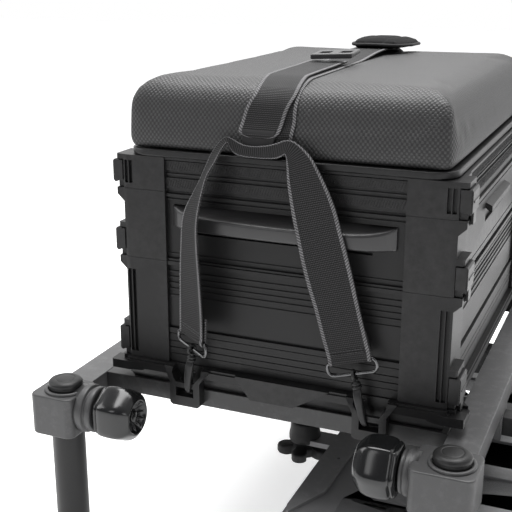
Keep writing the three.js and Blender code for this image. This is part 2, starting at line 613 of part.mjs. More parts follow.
// ---------------------------------------------------------------------- strap
// Upper strap: doubled webbing up the side, over the seat and down the far side.
const STRAP_X = [-38, 14];
function over(r, off) {
  const pts = [];
  const cy = 228 - SEAT_R, cz = Z_SEAT[1] - SEAT_R;
  for (let i = 0; i <= 6; i++) {
    const t = (i * Math.PI) / 12;
    pts.push([-(cy + (SEAT_R + off) * Math.cos(t)), cz + (SEAT_R + off) * Math.sin(t)]);
  }
  return pts;
}
const low = over(0, 0.7), high = over(0, 5.4);
const rightHalf = (pts) => pts.map(([y, z]) => [-y, z]).reverse();
const strapProfile = [
  [-228.7, 492], ...low, [-120, 544.0], [-20, 544.6], [60, 545.6], [130, 545.4], [176, 544.2], ...rightHalf(low), [228.7, 492],
  [233.4, 492], ...rightHalf(high).reverse().slice(0), [176, 549.2], [130, 549.4], [60, 549.6], [0, 549.4], [-50, 549.4], [-120, 549.0],
  ...over(0, 5.4).reverse(), [-233.4, 492],
];
piece("strap_top", prismX(strapProfile, ...STRAP_X), MAT.webbing);

// Lower strap: one ribbon from the rear ring up through the upper strap's loop and down
// to the front ring. Each row is a point on its outer edge and one on its inner edge.
const RIBBON = [
  [[-109.5, -238.5, 279], [-70.5, -262, 285]],
  [[-108.3, -239.4, 305], [-70.3, -263, 312]],
  [[-106.6, -240.4, 345], [-72.0, -264, 352]],
  [[-104.6, -241.2, 372], [-73.2, -265, 380]],
  [[-101.8, -242.6, 398], [-72.6, -266.5, 402]],
  [[-97.2, -243.6, 414], [-70.6, -266, 419]],
  [[-89.0, -243.4, 429], [-68.0, -262, 438]],
  [[-81.0, -242.2, 444], [-65.0, -256.5, 454]],
  [[-75.2, -240.0, 458], [-60.5, -250, 465]],
  [[-69.6, -237.8, 471.5], [-58.4, -244.5, 472.6]],
  [[-62.6, -236.4, 482.4], [-54.8, -240.8, 480.2]],
  [[-54.6, -235.6, 489.6], [-51.2, -238.4, 484.6]],
  [[-47.6, -235.2, 488.6], [-48.4, -237.6, 478.6]],
  [[-41.0, -235.0, 485.6], [-43.6, -237.2, 473.6]],
  [[-33.5, -235.0, 483.2], [-35.0, -237.0, 471.6]],
  [[-22.0, -235.0, 482.8], [-22.0, -236.8, 471.0]],
  [[-10.0, -235.0, 484.6], [-10.0, -236.8, 471.2]],
  [[0.0, -235.2, 487.6], [-1.0, -237.0, 472.0]],
  [[7.0, -235.4, 490.4], [5.6, -237.4, 474.6]],
  [[13.0, -235.6, 491.4], [9.0, -238.0, 477.0]],
  [[19.6, -236.0, 489.8], [10.6, -238.2, 475.0]],
  [[27.0, -236.4, 485.2], [10.9, -238.2, 471.2]],
  [[37.0, -238.0, 476.6], [11.6, -238.8, 465]],
  [[46.2, -240.0, 463.4], [12.6, -240.2, 453.6]],
  [[56.0, -242.2, 447.4], [15.8, -242.4, 436.4]],
  [[65.0, -244.2, 428.6], [20.4, -244.4, 415.4]],
  [[72.0, -245.2, 406.8], [26.2, -245.4, 391.6]],
  [[78.2, -245.2, 385.8], [31.2, -245.4, 369.6]],
  [[84.6, -244.6, 361.6], [37.8, -244.8, 346]],
  [[90.2, -243.8, 338], [44.6, -244.0, 324.6]],
  [[96.6, -242.8, 313], [51.6, -243.0, 298.6]],
  [[103.4, -241.6, 287], [58.6, -241.6, 273.6]],
];
function ribbon(rows, thickness) {
  const at = rows.map(([a, b]) => [new THREE.Vector3(...a), new THREE.Vector3(...b)]);
  const pos = [];
  at.forEach(([a, b], i) => {
    const mid = (k) => at[k][0].clone().add(at[k][1]).multiplyScalar(0.5);
    const along = mid(Math.min(i + 1, at.length - 1)).sub(mid(Math.max(i - 1, 0)));
    const n = along.cross(a.clone().sub(b)).normalize().multiplyScalar(thickness / 2);
    for (const v of [a.clone().add(n), b.clone().add(n), b.clone().sub(n), a.clone().sub(n)]) pos.push(v.x, v.y, v.z);
  });
  const idx = [];
  for (let i = 0; i + 1 < at.length; i++)
    for (let j = 0; j < 4; j++) {
      const p = 4 * i + j, q = 4 * i + ((j + 1) % 4);
      idx.push(p, q, q + 4, p, q + 4, p + 4);
    }
  const e = 4 * (at.length - 1);
  idx.push(0, 3, 2, 0, 2, 1, e, e + 1, e + 2, e, e + 2, e + 3);
  const g = new THREE.BufferGeometry();
  g.setAttribute("position", new THREE.Float32BufferAttribute(pos, 3));
  g.setIndex(idx);
  return g;
}
const strapNear = ribbon(RIBBON, STRAP_T);
piece("strap_near", strapNear, MAT.webbing);
piece("strap_far", mirrored(strapNear, false, true), MAT.webbing);

// Buckle on the upper strap, and the shoulder pad beyond it.
const buckle = without(
  prismY([[-33, 550.3], [17, 552.9], [17, 559.0], [-33, 556.4]], -55, -20),
  box(-27, -13, -44, -28, 540, 570), box(-2, 11.5, -44, -28, 540, 570),
);
piece("strap_buckle", buckle, MAT.buckle);
const padProfile = [[102, 556.4], [126, 555.0], [150, 553.4], [176, 551.4], [206, 549.8], [212, 553], [210, 557.6], [186, 561.6], [156, 563.4], [120, 563.0], [104, 560]];
// Its ends taper to the strap's width.
const padPlan = [[-38, 98], [14, 98], [34, 142], [34, 216], [-58, 216], [-58, 142]];
piece("shoulder_pad", prismX(padProfile, -60, 40).intersect(prismZ(padPlan, 540, 580)), MAT.rubber);

// Rings and swivel hooks: local frame with the ring's lower bar at the origin and the hook hanging down -Z.
function clip(topX, topZ, topY, ringTurn, tilt, hookLen, hookTurn) {
  const y0 = -239.5; // the anchor bar's line
  const ringFrame = new THREE.Matrix4().makeRotationZ(ringTurn).multiply(new THREE.Matrix4().makeRotationY(-tilt)).setPosition(topX, topY, topZ);
  const hookFrame = new THREE.Matrix4().makeRotationY(hookTurn).setPosition(topX, y0, topZ);
  const lean = new THREE.Matrix4().set(1, 0, 0, 0, 0, 1, (topY - y0) / 48, topY - y0, 0, 0, 1, 0, 0, 0, 0, 1);
  const eyeTurn = new THREE.Matrix4().makeRotationZ(ringTurn);
  // ring: wire rectangle with rounded corners, its lower bar centred on the origin
  const ring = solid(
    alongY(rounded(-26, 26, -2, 13, 6, 3), -2.1, 2.1, [rounded(-22, 22, 2, 9, 3, 2)]).applyMatrix4(ringFrame),
  );
  // hook: stirrup round the ring's bar, swivel barrel, body, and a loop that encloses the anchor bar
  const stirrup = alongX(rounded(-5.4, 5.4, -6.6, 4.9, 3, 2), -2.2, 2.2, [rounded(-3.2, 3.2, -3.2, 2.9, 1.4, 1)]);
  const barrel = turned([[0, 0], [4.4, 0], [4.4, 6.2], [3.2, 7.6], [0, 7.6]], 8).translate(0, 0, -13.6);
  const bot = -hookLen;
  const loop = alongX(
    [[-4.6, -12.6], [4.0, -12.6], [5.8, -18], [7.0, -26], [7.0, bot + 5], [4.4, bot + 0.8], [0, bot - 0.6], [-4.4, bot + 0.8], [-6.6, bot + 5], [-6.4, -26], [-5.6, -18]],
    -3, 3,
    [[[-2.8, -21.5], [2.8, -21.5], [3.9, -25], [3.9, bot + 6.0], [2.2, bot + 3.9], [-1.8, bot + 3.9], [-3.6, bot + 6.0], [-3.6, -25]]],
  );
  const hook = joined(
    solid(stirrup.applyMatrix4(eyeTurn).applyMatrix4(lean).applyMatrix4(hookFrame)),
    solid(barrel.applyMatrix4(lean).applyMatrix4(hookFrame)),
    solid(loop.applyMatrix4(lean).applyMatrix4(hookFrame)),
  );
  return [geometryOf(ring), geometryOf(hook)];
}
const [ringR, hookR] = clip(86.2, 260.8, -239.5, 0, 0.287, 57.2, -0.26);
const [ringL, hookL] = clip(-91.5, 262.2, -246.2, -0.54, -0.1, 57.2, 0.15);
piece("strap_ring_front_near", ringR, MAT.hardware);
piece("strap_ring_front_far", mirrored(ringR, false, true), MAT.hardware);
piece("strap_ring_rear_near", ringL, MAT.hardware);
piece("strap_ring_rear_far", mirrored(ringL, false, true), MAT.hardware);
piece("snap_hook_front_near", hookR, MAT.hardware);
piece("snap_hook_front_far", mirrored(hookR, false, true), MAT.hardware);
piece("snap_hook_rear_near", hookL, MAT.hardware);
piece("snap_hook_rear_far", mirrored(hookL, false, true), MAT.hardware);

export default root;
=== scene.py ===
# Looks of a fishing seat box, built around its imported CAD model.
# Everything is in metres in the model's frame: +X front, +Y far side, +Z up.
# Shapes are written in mm from the box's centre line and turned into metres by to_m().
import json
import math

import bmesh
import bpy
import numpy as np
from mathutils import Matrix, Vector
from mathutils.bvhtree import BVHTree


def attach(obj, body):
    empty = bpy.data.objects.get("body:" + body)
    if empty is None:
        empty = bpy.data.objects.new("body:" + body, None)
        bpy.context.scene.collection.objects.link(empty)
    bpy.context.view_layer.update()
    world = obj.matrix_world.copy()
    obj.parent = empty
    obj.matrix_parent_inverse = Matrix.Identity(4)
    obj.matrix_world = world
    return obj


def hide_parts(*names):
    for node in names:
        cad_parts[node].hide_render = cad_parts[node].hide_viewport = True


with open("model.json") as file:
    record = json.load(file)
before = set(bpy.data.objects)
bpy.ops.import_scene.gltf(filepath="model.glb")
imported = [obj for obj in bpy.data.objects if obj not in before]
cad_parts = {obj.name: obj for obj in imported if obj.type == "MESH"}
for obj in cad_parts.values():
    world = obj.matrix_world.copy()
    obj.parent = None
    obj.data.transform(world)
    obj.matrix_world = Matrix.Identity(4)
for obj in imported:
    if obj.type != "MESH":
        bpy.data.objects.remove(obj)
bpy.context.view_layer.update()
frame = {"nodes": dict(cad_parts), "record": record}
NODES = frame["nodes"]
SCENE = bpy.context.scene
OX = 39.0  # the box's centre, in mm, from the model's origin (row x = x - OX)
BOX = "seat_box"

# ------------------------------------------------------------------ camera
cam_data = bpy.data.cameras.new("camera")
cam = bpy.data.objects.new("camera", cam_data)
SCENE.collection.objects.link(cam)
cam.location = (0.30268, -1.09207, 0.65391)
cam.rotation_euler = (math.radians(73.05), 0.0, math.radians(23.0))
cam_data.lens = 67.43
cam_data.sensor_width = 36.0
cam_data.clip_start = 0.01
cam_data.clip_end = 50.0
SCENE.camera = cam


# ------------------------------------------------------------------ materials
class Nodes:
    """A small helper to wire a node material."""

    def __init__(self, name):
        self.mat = bpy.data.materials.new(name)
        self.mat.use_nodes = True
        self.t = self.mat.node_tree
        self.t.nodes.clear()
        self.out = self.add("ShaderNodeOutputMaterial")
        self.bsdf = self.add("ShaderNodeBsdfPrincipled")
        self.link(self.bsdf.outputs["BSDF"], self.out.inputs["Surface"])

    def add(self, kind, **props):
        n = self.t.nodes.new(kind)
        for k, v in props.items():
            setattr(n, k, v)
        return n

    def link(self, a, b):
        self.t.links.new(a, b)

    def coords(self, scale=(1, 1, 1), rotation=(0, 0, 0), location=(0, 0, 0), uv=False):
        tc = self.add("ShaderNodeTexCoord")
        mp = self.add("ShaderNodeMapping")
        mp.inputs["Scale"].default_value = scale
        mp.inputs["Rotation"].default_value = rotation
        mp.inputs["Location"].default_value = location
        self.link(tc.outputs["UV" if uv else "Object"], mp.inputs["Vector"])
        return mp.outputs["Vector"]

    def split(self, vec):
        s = self.add("ShaderNodeSeparateXYZ")
        self.link(vec, s.inputs[0])
        return s.outputs[0], s.outputs[1], s.outputs[2]

    def noise(self, vec, scale, detail=3.0, rough=0.55):
        n = self.add("ShaderNodeTexNoise")
        n.inputs["Scale"].default_value = scale
        n.inputs["Detail"].default_value = detail
        n.inputs["Roughness"].default_value = rough
        self.link(vec, n.inputs["Vector"])
        return n.outputs["Fac"]

    def ramp(self, fac, stops):
        r = self.add("ShaderNodeValToRGB")
        els = r.color_ramp.elements
        while len(els) > 1:
            els.remove(els[-1])
        first = True
        for pos, col in stops:
            c = (col, col, col, 1.0) if isinstance(col, (int, float)) else (*col, 1.0)
            if first:
                els[0].position, els[0].color = pos, c
                first = False
            else:
                e = els.new(pos)
                e.color = c
        self.link(fac, r.inputs["Fac"])
        return r.outputs["Color"]

    def math(self, op, a, b=None, c=None, clamp=False):
        m = self.add("ShaderNodeMath", operation=op, use_clamp=clamp)
        for i, v in enumerate((a, b, c)):
            if v is None:
                continue
            if isinstance(v, (int, float)):
                m.inputs[i].default_value = v
            else:
                self.link(v, m.inputs[i])
        return m.outputs["Value"]

    def mix(self, fac, a, b, blend="MIX"):
        m = self.add("ShaderNodeMix", data_type="RGBA", blend_type=blend)
        for key, v in (("Factor", fac), ("A", a), ("B", b)):
            sock = [s for s in m.inputs if s.name == key and (s.type == "RGBA" or key == "Factor" and s.type == "VALUE")][0]
            if isinstance(v, (int, float)) and key == "Factor":
                sock.default_value = v
            elif isinstance(v, (tuple, list)):
                sock.default_value = (*v, 1.0)[:4]
            else:
                self.link(v, sock)
        return [s for s in m.outputs if s.type == "RGBA"][0]

    def bump(self, height, strength=0.5, distance=0.001, normal=None):
        b = self.add("ShaderNodeBump")
        b.inputs["Strength"].default_value = strength
        b.inputs["Distance"].default_value = distance
        self.link(height, b.inputs["Height"])
        if normal is not None:
            self.link(normal, b.inputs["Normal"])
        return b.outputs["Normal"]

    def set(self, **kw):
        names = {
            "base": "Base Color", "rough": "Roughness", "metal": "Metallic", "spec": "Specular IOR Level",
            "coat": "Coat Weight", "coat_rough": "Coat Roughness", "sheen": "Sheen Weight",
            "sheen_rough": "Sheen Roughness", "normal": "Normal", "aniso": "Anisotropic",
        }
        for k, v in kw.items():
            s = self.bsdf.inputs[names[k]]
            if isinstance(v, (int, float)):
                s.default_value = v
            elif isinstance(v, (tuple, list)):
                s.default_value = (*v, 1.0)
            else:
                self.link(v, s)


def grey(v, tint=(1.0, 0.985, 1.01)):
    return tuple(v * t for t in tint)


def moulded(name, value, rough, grain=0.5, wear=0.3, spec=0.5, tint=(1.0, 0.985, 1.01), size=1500.0):
    """Satin moulded plastic: fine spark-eroded grain, faint handling marks, lighter rubbed edges."""
    m = Nodes(name)
    v = m.coords()
    cloud = m.noise(v, 6.0, 3.0)
    fine = m.noise(v, size, 2.0, 0.6)
    smear = m.noise(m.coords(scale=(9, 9, 30)), 1.0, 4.0, 0.6)
    geo = m.add("ShaderNodeNewGeometry")
    edge = m.ramp(geo.outputs["Pointiness"], [(0.51, 0.0), (0.57, 1.0)])
    rub = m.math("MULTIPLY", m.ramp(m.noise(v, 130.0, 5.0, 0.7), [(0.35, 0.0), (0.75, 1.0)]), edge)
    base = m.ramp(cloud, [(0.25, grey(value * 0.94, tint)), (0.75, grey(value * 1.06, tint))])
    base = m.mix(m.math("MULTIPLY", m.ramp(fine, [(0.5, 0.0), (0.8, 1.0)]), 0.22), base, grey(value * 2.2, tint))
    col = m.mix(m.math("MULTIPLY", rub, wear), base, grey(min(1, value * 3.0 + 0.02), tint))
    m.set(base=col, spec=spec)
    r1 = m.math("MULTIPLY_ADD", smear, 0.07, rough - 0.035)
    m.set(rough=m.math("MULTIPLY_ADD", rub, -0.06, r1, clamp=True))
    m.set(normal=m.bump(fine, strength=grain, distance=0.0001))
    return m


def painted(name, value, rough, metal=0.0, speckle=0.3, wear=0.3, tint=(1.0, 1.0, 1.015), peel=0.3, spec=0.5):
    """Satin coat on metal: orange peel, faint speckle and bright worn edges."""
    m = Nodes(name)
    v = m.coords()
    skin = m.noise(v, 320.0, 2.0, 0.5)
    fine = m.noise(v, 1900.0, 2.0, 0.6)
    cloud = m.noise(v, 5.0, 3.0)
    geo = m.add("ShaderNodeNewGeometry")
    edge = m.ramp(geo.outputs["Pointiness"], [(0.515, 0.0), (0.575, 1.0)])
    chip = m.math("MULTIPLY", m.ramp(m.noise(v, 90.0, 6.0, 0.75), [(0.5, 0.0), (0.72, 1.0)]), edge)
    base = m.ramp(cloud, [(0.25, grey(value * 0.95, tint)), (0.75, grey(value * 1.05, tint))])
    base = m.mix(m.math("MULTIPLY", m.ramp(fine, [(0.45, 0.0), (0.7, 1.0)]), speckle * 0.35), base, grey(value * 1.9, tint))
    m.set(base=m.mix(m.math("MULTIPLY", chip, wear), base, grey(min(1, value * 2.4 + 0.06), tint)), metal=metal, spec=spec)
    m.set(rough=m.math("MULTIPLY_ADD", m.noise(v, 30.0, 3.0), 0.06, rough - 0.03, clamp=True))
    h = m.math("MULTIPLY_ADD", fine, 0.35, skin)
    m.set(normal=m.bump(h, strength=peel, distance=0.00012))
    return m


def cover_fabric(name):
    """Coated seat cover, embossed with small staggered diamonds, with painted shade in the grooves between them; UVs
    are in metres.
    """
    m = Nodes(name)
    u, w, _ = m.split(m.coords(uv=True))
    ca = m.math("COSINE", m.math("MULTIPLY", u, 2 * math.pi / 0.0047))
    cb = m.math("COSINE", m.math("MULTIPLY", w, 2 * math.pi / 0.0057))
    cell = m.math("MULTIPLY", ca, cb)
    rise = m.ramp(m.math("MULTIPLY_ADD", cell, 0.5, 0.5), [(0.4, 0.0), (0.52, 0.35), (0.72, 0.9), (1.0, 1.0)])
    v = m.coords()
    cloud = m.noise(v, 7.0, 3.0)
    pore = m.noise(v, 1700.0, 2.0, 0.6)
    top = m.ramp(cloud, [(0.25, grey(0.030)), (0.75, grey(0.036))])
    # painted shade: the grooves between the diamonds are painted near black, while the diamond tops keep the cover's
    # own colour
    m.set(base=m.mix(rise, grey(0.0065), top), spec=0.5)
    m.set(rough=m.math("MULTIPLY_ADD", rise, -0.12, m.math("MULTIPLY_ADD", cloud, 0.06, 0.55)))
    fine = m.bump(pore, strength=0.2, distance=0.0001)
    m.set(normal=m.bump(rise, strength=0.75, distance=0.0006, normal=fine))
    return m


def webbing(name, half=0.0235):
    """Polyester webbing: rows of fine cross ribs with painted highlight on their crests and painted shade between them,
    staggered picks, pale woven edge lines; UVs in metres.
    """
    m = Nodes(name)
    u, w, _ = m.split(m.coords(uv=True))
    rows = m.math("SINE", m.math("MULTIPLY", w, 2 * math.pi / 0.0021))
    pick = m.math("SINE", m.math("MULTIPLY_ADD", w, math.pi / 0.0021, m.math("MULTIPLY", u, 2 * math.pi / 0.0026)))
    height = m.math("MULTIPLY_ADD", pick, 0.45, rows)
    # painted highlight and shade: rib crests are painted lighter and the hollows between ribs darker
    lit = m.ramp(m.math("MULTIPLY_ADD", height, 0.33, 0.5), [(0.25, grey(0.005)), (0.6, grey(0.017)), (0.95, grey(0.045))])
    au = m.math("ABSOLUTE", u)
    edge = m.math("MULTIPLY", m.math("GREATER_THAN", au, half - 0.0042), m.math("LESS_THAN", au, half - 0.0006))
    twist = m.math("SINE", m.math("MULTIPLY_ADD", w, 2 * math.pi / 0.0030, m.math("MULTIPLY", au, 2 * math.pi / 0.004)))
    pale = m.ramp(m.math("MULTIPLY_ADD", twist, 0.5, 0.5), [(0.1, grey(0.045)), (0.45, grey(0.13)), (1.0, grey(0.20))])
    worn = m.ramp(m.noise(m.coords(), 60.0, 4.0), [(0.3, 0.75), (0.7, 1.0)])
    m.set(base=m.mix(m.math("MULTIPLY", edge, worn), lit, pale), spec=0.2)
    m.set(rough=0.7, sheen=0.03, sheen_rough=0.5)
    h2 = m.mix(edge, m.math("MULTIPLY_ADD", height, 0.33, 0.5), m.math("MULTIPLY_ADD", twist, 0.5, 0.5))
    m.set(normal=m.bump(h2, strength=0.8, distance=0.00035))
    return m


def pad_fabric(name):
    """Fine knitted shoulder pad cover."""
    m = Nodes(name)
    x, y, _ = m.split(m.coords())
    a = m.math("SINE", m.math("MULTIPLY", x, 2 * math.pi / 0.0022))
    b = m.math("SINE", m.math("MULTIPLY", y, 2 * math.pi / 0.0022))
    k = m.math("MULTIPLY_ADD", m.math("MULTIPLY", a, b), 0.5, 0.5)
    v = m.coords()
    m.set(base=m.mix(k, grey(0.006), grey(0.02)), rough=0.9, spec=0.1)
    m.set(normal=m.bump(m.math("MULTIPLY_ADD", m.noise(v, 1200.0, 2.0), 0.3, k), strength=0.7, distance=0.0004))
    return m


MATS = {}
MATS["tray"] = moulded("tray_plastic", 0.0088, 0.42, spec=0.27)
MATS["trim"] = moulded("trim_plastic", 0.0078, 0.36, spec=0.28)
MATS["rail"] = painted("rail_coat", 0.024, 0.32, metal=0.1, spec=0.4)
MATS["beam"] = painted("beam_coat", 0.085, 0.33, metal=0.3)
MATS["cast"] = painted("cast_coat", 0.045, 0.44, metal=0.1, peel=0.5)
MATS["deck"] = painted("deck_coat", 0.17, 0.40, metal=0.1, peel=0.4)
MATS["grip"] = moulded("grip_plastic", 0.024, 0.34, spec=0.5)
MATS["leg"] = painted("leg_coat", 0.010, 0.42, metal=0.0, spec=0.3)
MATS["knob"] = moulded("knob_gloss", 0.006, 0.17, grain=0.05, wear=0.1, tint=(0.95, 1.0, 1.04))
MATS["rubber"] = moulded("soft_rubber", 0.009, 0.6, grain=0.8, wear=0.1, spec=0.35)
MATS["metal"] = painted("clip_metal", 0.11, 0.24, metal=1.0, speckle=0.1, wear=0.3, peel=0.15)
MATS["hook"] = painted("hook_metal", 0.022, 0.38, metal=0.6, speckle=0.15, wear=0.4, peel=0.3)
MATS["cover"] = cover_fabric("cover_fabric")
MATS["webbing"] = webbing("webbing")
MATS["pad"] = pad_fabric("pad_fabric")
MATS["binding"] = moulded("pad_binding", 0.02, 0.7, grain=0.8, wear=0.0, spec=0.2)
MATS["thread"] = moulded("stitch_thread", 0.05, 0.6, grain=0.3, wear=0.0)

SLOT_MAT = {
    "seat_cover": "cover", "tray_plastic": "tray", "black_plastic": "trim", "rail_metal": "rail", "cast_metal": "cast",
    "leg_metal": "leg", "knob_plastic": "knob", "grip_rubber": "rubber", "foot_rubber": "rubber", "webbing": "webbing",
    "clip_metal": "metal", "buckle_plastic": "trim", "pad_foam": "pad",
}
SLOT_OF = {s["node"]: s["material_slot"] for s in frame["record"]["subparts"] if "node" in s}


def use(obj, key):
    obj.data.materials.clear()
    obj.data.materials.append(MATS[key].mat)
    return obj


# ------------------------------------------------------- CAD nodes that stay
def soften(obj, width, segments=2, angle=28):
    """Coplanar faces are merged and the real edges get a small radius."""
    w = obj.modifiers.new("weld", "WELD")
    w.merge_threshold = 0.00002
    d = obj.modifiers.new("flat", "DECIMATE")
    d.decimate_type = "DISSOLVE"
    d.angle_limit = math.radians(0.4)
    b = obj.modifiers.new("edge", "BEVEL")
    b.width = width
    b.segments = segments
    b.limit_method = "ANGLE"
    b.angle_limit = math.radians(angle)
    b.use_clamp_overlap = True
    b.harden_normals = False
    b.miter_outer = "MITER_ARC"
    s = obj.modifiers.new("shade", "WEIGHTED_NORMAL")
    s.keep_sharp = True
    for p in obj.data.polygons:
        p.use_smooth = True
    return obj


# ------------------------------------------------------------ mesh helpers
def to_m(pts):
    a = np.asarray(pts, float).reshape(-1, 3).copy()
    a[:, 0] -= OX
    return a / 1000.0


def put(name, pts, faces, key, slot, body=BOX, replaces=(), uvs=None, flip=False, smooth=True):
    """A new piece from points in mm. flip mirrors it to the far side."""
    pts = np.asarray(pts, float).reshape(-1, 3).copy()
    faces = [tuple(f) for f in faces]
    if flip:
        pts[:, 1] *= -1
        faces = [f[::-1] for f in faces]
    me = bpy.data.meshes.new(name)
    me.from_pydata([tuple(p) for p in to_m(pts)], [], faces)
    if uvs is not None:
        lay = me.uv_layers.new(name="cloth")
        uv = np.asarray(uvs, float)
        idx = np.empty(len(me.loops), int)
        me.loops.foreach_get("vertex_index", idx)
        lay.data.foreach_set("uv", (uv[idx] / 1000.0).ravel())
    me.validate()
    me.update()
    ob = bpy.data.objects.new(name, me)
    SCENE.collection.objects.link(ob)
    if smooth:
        me.polygons.foreach_set("use_smooth", [True] * len(me.polygons))
    use(ob, key)
    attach(ob, body)
    if replaces:
        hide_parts(*replaces)
    return ob


def grid_faces(n, m, close_m=False, close_n=False, off=0):
    """Quads over an n x m grid of points, row by row."""
    out = []
    for i in range(n if close_n else n - 1):
        for j in range(m if close_m else m - 1):
            a, b = i * m + j, i * m + (j + 1) % m
            c, d = ((i + 1) % n) * m + (j + 1) % m, ((i + 1) % n) * m + j
            out.append((off + a, off + b, off + c, off + d))
    return out


class Shape:
    """Points and faces gathered from several closed forms."""

    def __init__(self):
        self.p, self.f = [], []

    def add(self, pts, faces):
        o = len(self.p)
        self.p += [tuple(q) for q in pts]
        self.f += [tuple(o + i for i in f) for f in faces]
        return self

    def lathe(self, profile, at, axis="z", seg=48, radius=None):
        """A closed turned form. profile is (r, h) from the axis and back to it; radius(t, r, h) may vary r."""
        ring = []
        prof = [q for q in profile]
        pts, faces = [], []
        rows = []
        for r, h in prof:
            if r < 1e-6:
                rows.append([len(pts)])
                pts.append((0.0, 0.0, h))
            else:
                row = []
                for k in range(seg):
                    t = 2 * math.pi * k / seg
                    rr, hh = (r, h) if radius is None else radius(t, r, h)
                    row.append(len(pts))
                    pts.append((rr * math.cos(t), rr * math.sin(t), hh))
                rows.append(row)
        for a, b in zip(rows, rows[1:]):
            if len(a) == 1 and len(b) == 1:
                continue
            for k in range(seg):
                k2 = (k + 1) % seg
                if len(a) == 1:
                    faces.append((a[0], b[k2], b[k]))
                elif len(b) == 1:
                    faces.append((a[k], a[k2], b[0]))
                else:
                    faces.append((a[k], a[k2], b[k2], b[k]))
        P = np.array(pts)
        if axis == "x":
            P = P[:, [2, 0, 1]]
        elif axis == "-x":
            P = P[:, [2, 1, 0]] * np.array([-1, 1, 1])
        elif axis == "y":
            P = P[:, [1, 2, 0]]
        self.add(P + np.array(at), faces)
        return self

    def tube(self, path, radius, seg=16, closed=False, flat=(1.0, 1.0), up=(0, 1, 0)):
        """A tube along a path; radius may be one value or one per point."""
        path = np.asarray(path, float)
        n = len(path)
        rad = np.full(n, radius) if np.isscalar(radius) else np.asarray(radius, float)
        if closed:
            tan = np.roll(path, -1, 0) - np.roll(path, 1, 0)
        else:
            tan = np.gradient(path, axis=0)
        tan /= np.linalg.norm(tan, axis=1)[:, None]
        u = np.array(up, float)
        pts = []
        for i in range(n):
            a = u - tan[i] * np.dot(u, tan[i])
            a /= np.linalg.norm(a)
            b = np.cross(tan[i], a)
            for k in range(seg):
                t = 2 * math.pi * k / seg
                pts.append(path[i] + rad[i] * (flat[0] * math.cos(t) * a + flat[1] * math.sin(t) * b))
        faces = grid_faces(n, seg, close_m=True, close_n=closed)
        if not closed:
            faces.append(tuple(range(seg))[::-1])
            faces.append(tuple((n - 1) * seg + k for k in range(seg)))
        self.add(pts, faces)
        return self

    def block(self, xa, xb, ya, yb, za, zb):
        p = [(x, y, z) for x in (xa, xb) for y in (ya, yb) for z in (za, zb)]
        f = [(0, 1, 3, 2), (4, 6, 7, 5), (0, 4, 5, 1), (2, 3, 7, 6), (0, 2, 6, 4), (1, 5, 7, 3)]
        self.add(p, f)
        return self

    def put(self, name, key, slot, **kw):
        return put(name, self.p, self.f, key, slot, **kw)


def spline(points, n, closed=False):
    """Catmull-Rom through rows of values, resampled to n rows."""
    a = np.asarray(points, float)
    m = len(a)
    seg = m if closed else m - 1
    out = []
    for t in np.linspace(0, seg, n, endpoint=not closed):
        i = min(int(t), seg - 1)
        f = t - i
        g = (lambda k: a[k % m]) if closed else (lambda k: a[min(max(k, 0), m - 1)])
        p0, p1, p2, p3 = g(i - 1), g(i), g(i + 1), g(i + 2)
        out.append(0.5 * ((2 * p1) + (-p0 + p2) * f + (2 * p0 - 5 * p1 + 4 * p2 - p3) * f * f + (-p0 + 3 * p1 - 3 * p2 + p3) * f ** 3))
    return np.array(out)


def bevel(obj, width, segments=3, angle=30):
    b = obj.modifiers.new("edge", "BEVEL")
    b.width = width / 1000.0
    b.segments = segments
    b.limit_method = "ANGLE"
    b.angle_limit = math.radians(angle)
    b.miter_outer = "MITER_ARC"
    s = obj.modifiers.new("shade", "WEIGHTED_NORMAL")
    s.keep_sharp = True
    return obj


ENDS = ("rear", "front")
SIDES = ("near", "far")


# ------------------------------------------------------------------- cushion
SEAT_R, CY, CX, CZ = 27.0, 201.0, 145.0, 515.6
SEAT_Z = (470.3, 542.6)


def settle(obj, pins, pressure, cap, frames=20, bending=0.5):
    """Cloth pressure on a closed form, its movement capped, then kept as plain mesh."""
    me = obj.data
    n = len(me.vertices)
    rest = np.empty(n * 3)
    me.vertices.foreach_get("co", rest)
    rest = rest.reshape(-1, 3)
    vg = obj.vertex_groups.new(name="held")
    vg.add([int(i) for i in pins], 1.0, "REPLACE")
    m = obj.modifiers.new("cloth", "CLOTH")
    s = m.settings
    s.quality = 5
    s.mass = 0.3
    s.tension_stiffness = 15
    s.compression_stiffness = 15
    s.shear_stiffness = 5
    s.bending_stiffness = bending
    s.use_pressure = True
    s.uniform_pressure_force = pressure
    s.effector_weights.gravity = 0
    s.vertex_group_mass = "held"
    m.collision_settings.use_collision = False
    m.collision_settings.use_self_collision = False
    m.point_cache.frame_start = 1
    m.point_cache.frame_end = frames
    for f in range(1, frames + 1):
        SCENE.frame_set(f)
    dg = bpy.context.evaluated_depsgraph_get()
    co = np.empty(n * 3)
    obj.evaluated_get(dg).data.vertices.foreach_get("co", co)
    co = co.reshape(-1, 3)
    d = co - rest
    L = np.linalg.norm(d, axis=1)
    k = np.minimum(1.0, cap / 1000.0 / np.maximum(L, 1e-9))
    obj.modifiers.remove(m)
    obj.vertex_groups.remove(vg)
    me.vertices.foreach_set("co", (rest + d * k[:, None]).ravel())
    me.update()
    SCENE.frame_set(1)
    return float(L.max() * 1000)


def rounded_outline(xa, xb, ya, yb, r, n=8):
    out = []
    for cx, cy, a0 in ((xb - r, ya + r, -90), (xb - r, yb - r, 0), (xa + r, yb - r, 90), (xa + r, ya + r, 180)):
        for i in range(n + 1):
            t = math.radians(a0 + 90 * i / n)
            out.append((cx + r * math.cos(t), cy + r * math.sin(t)))
    return out


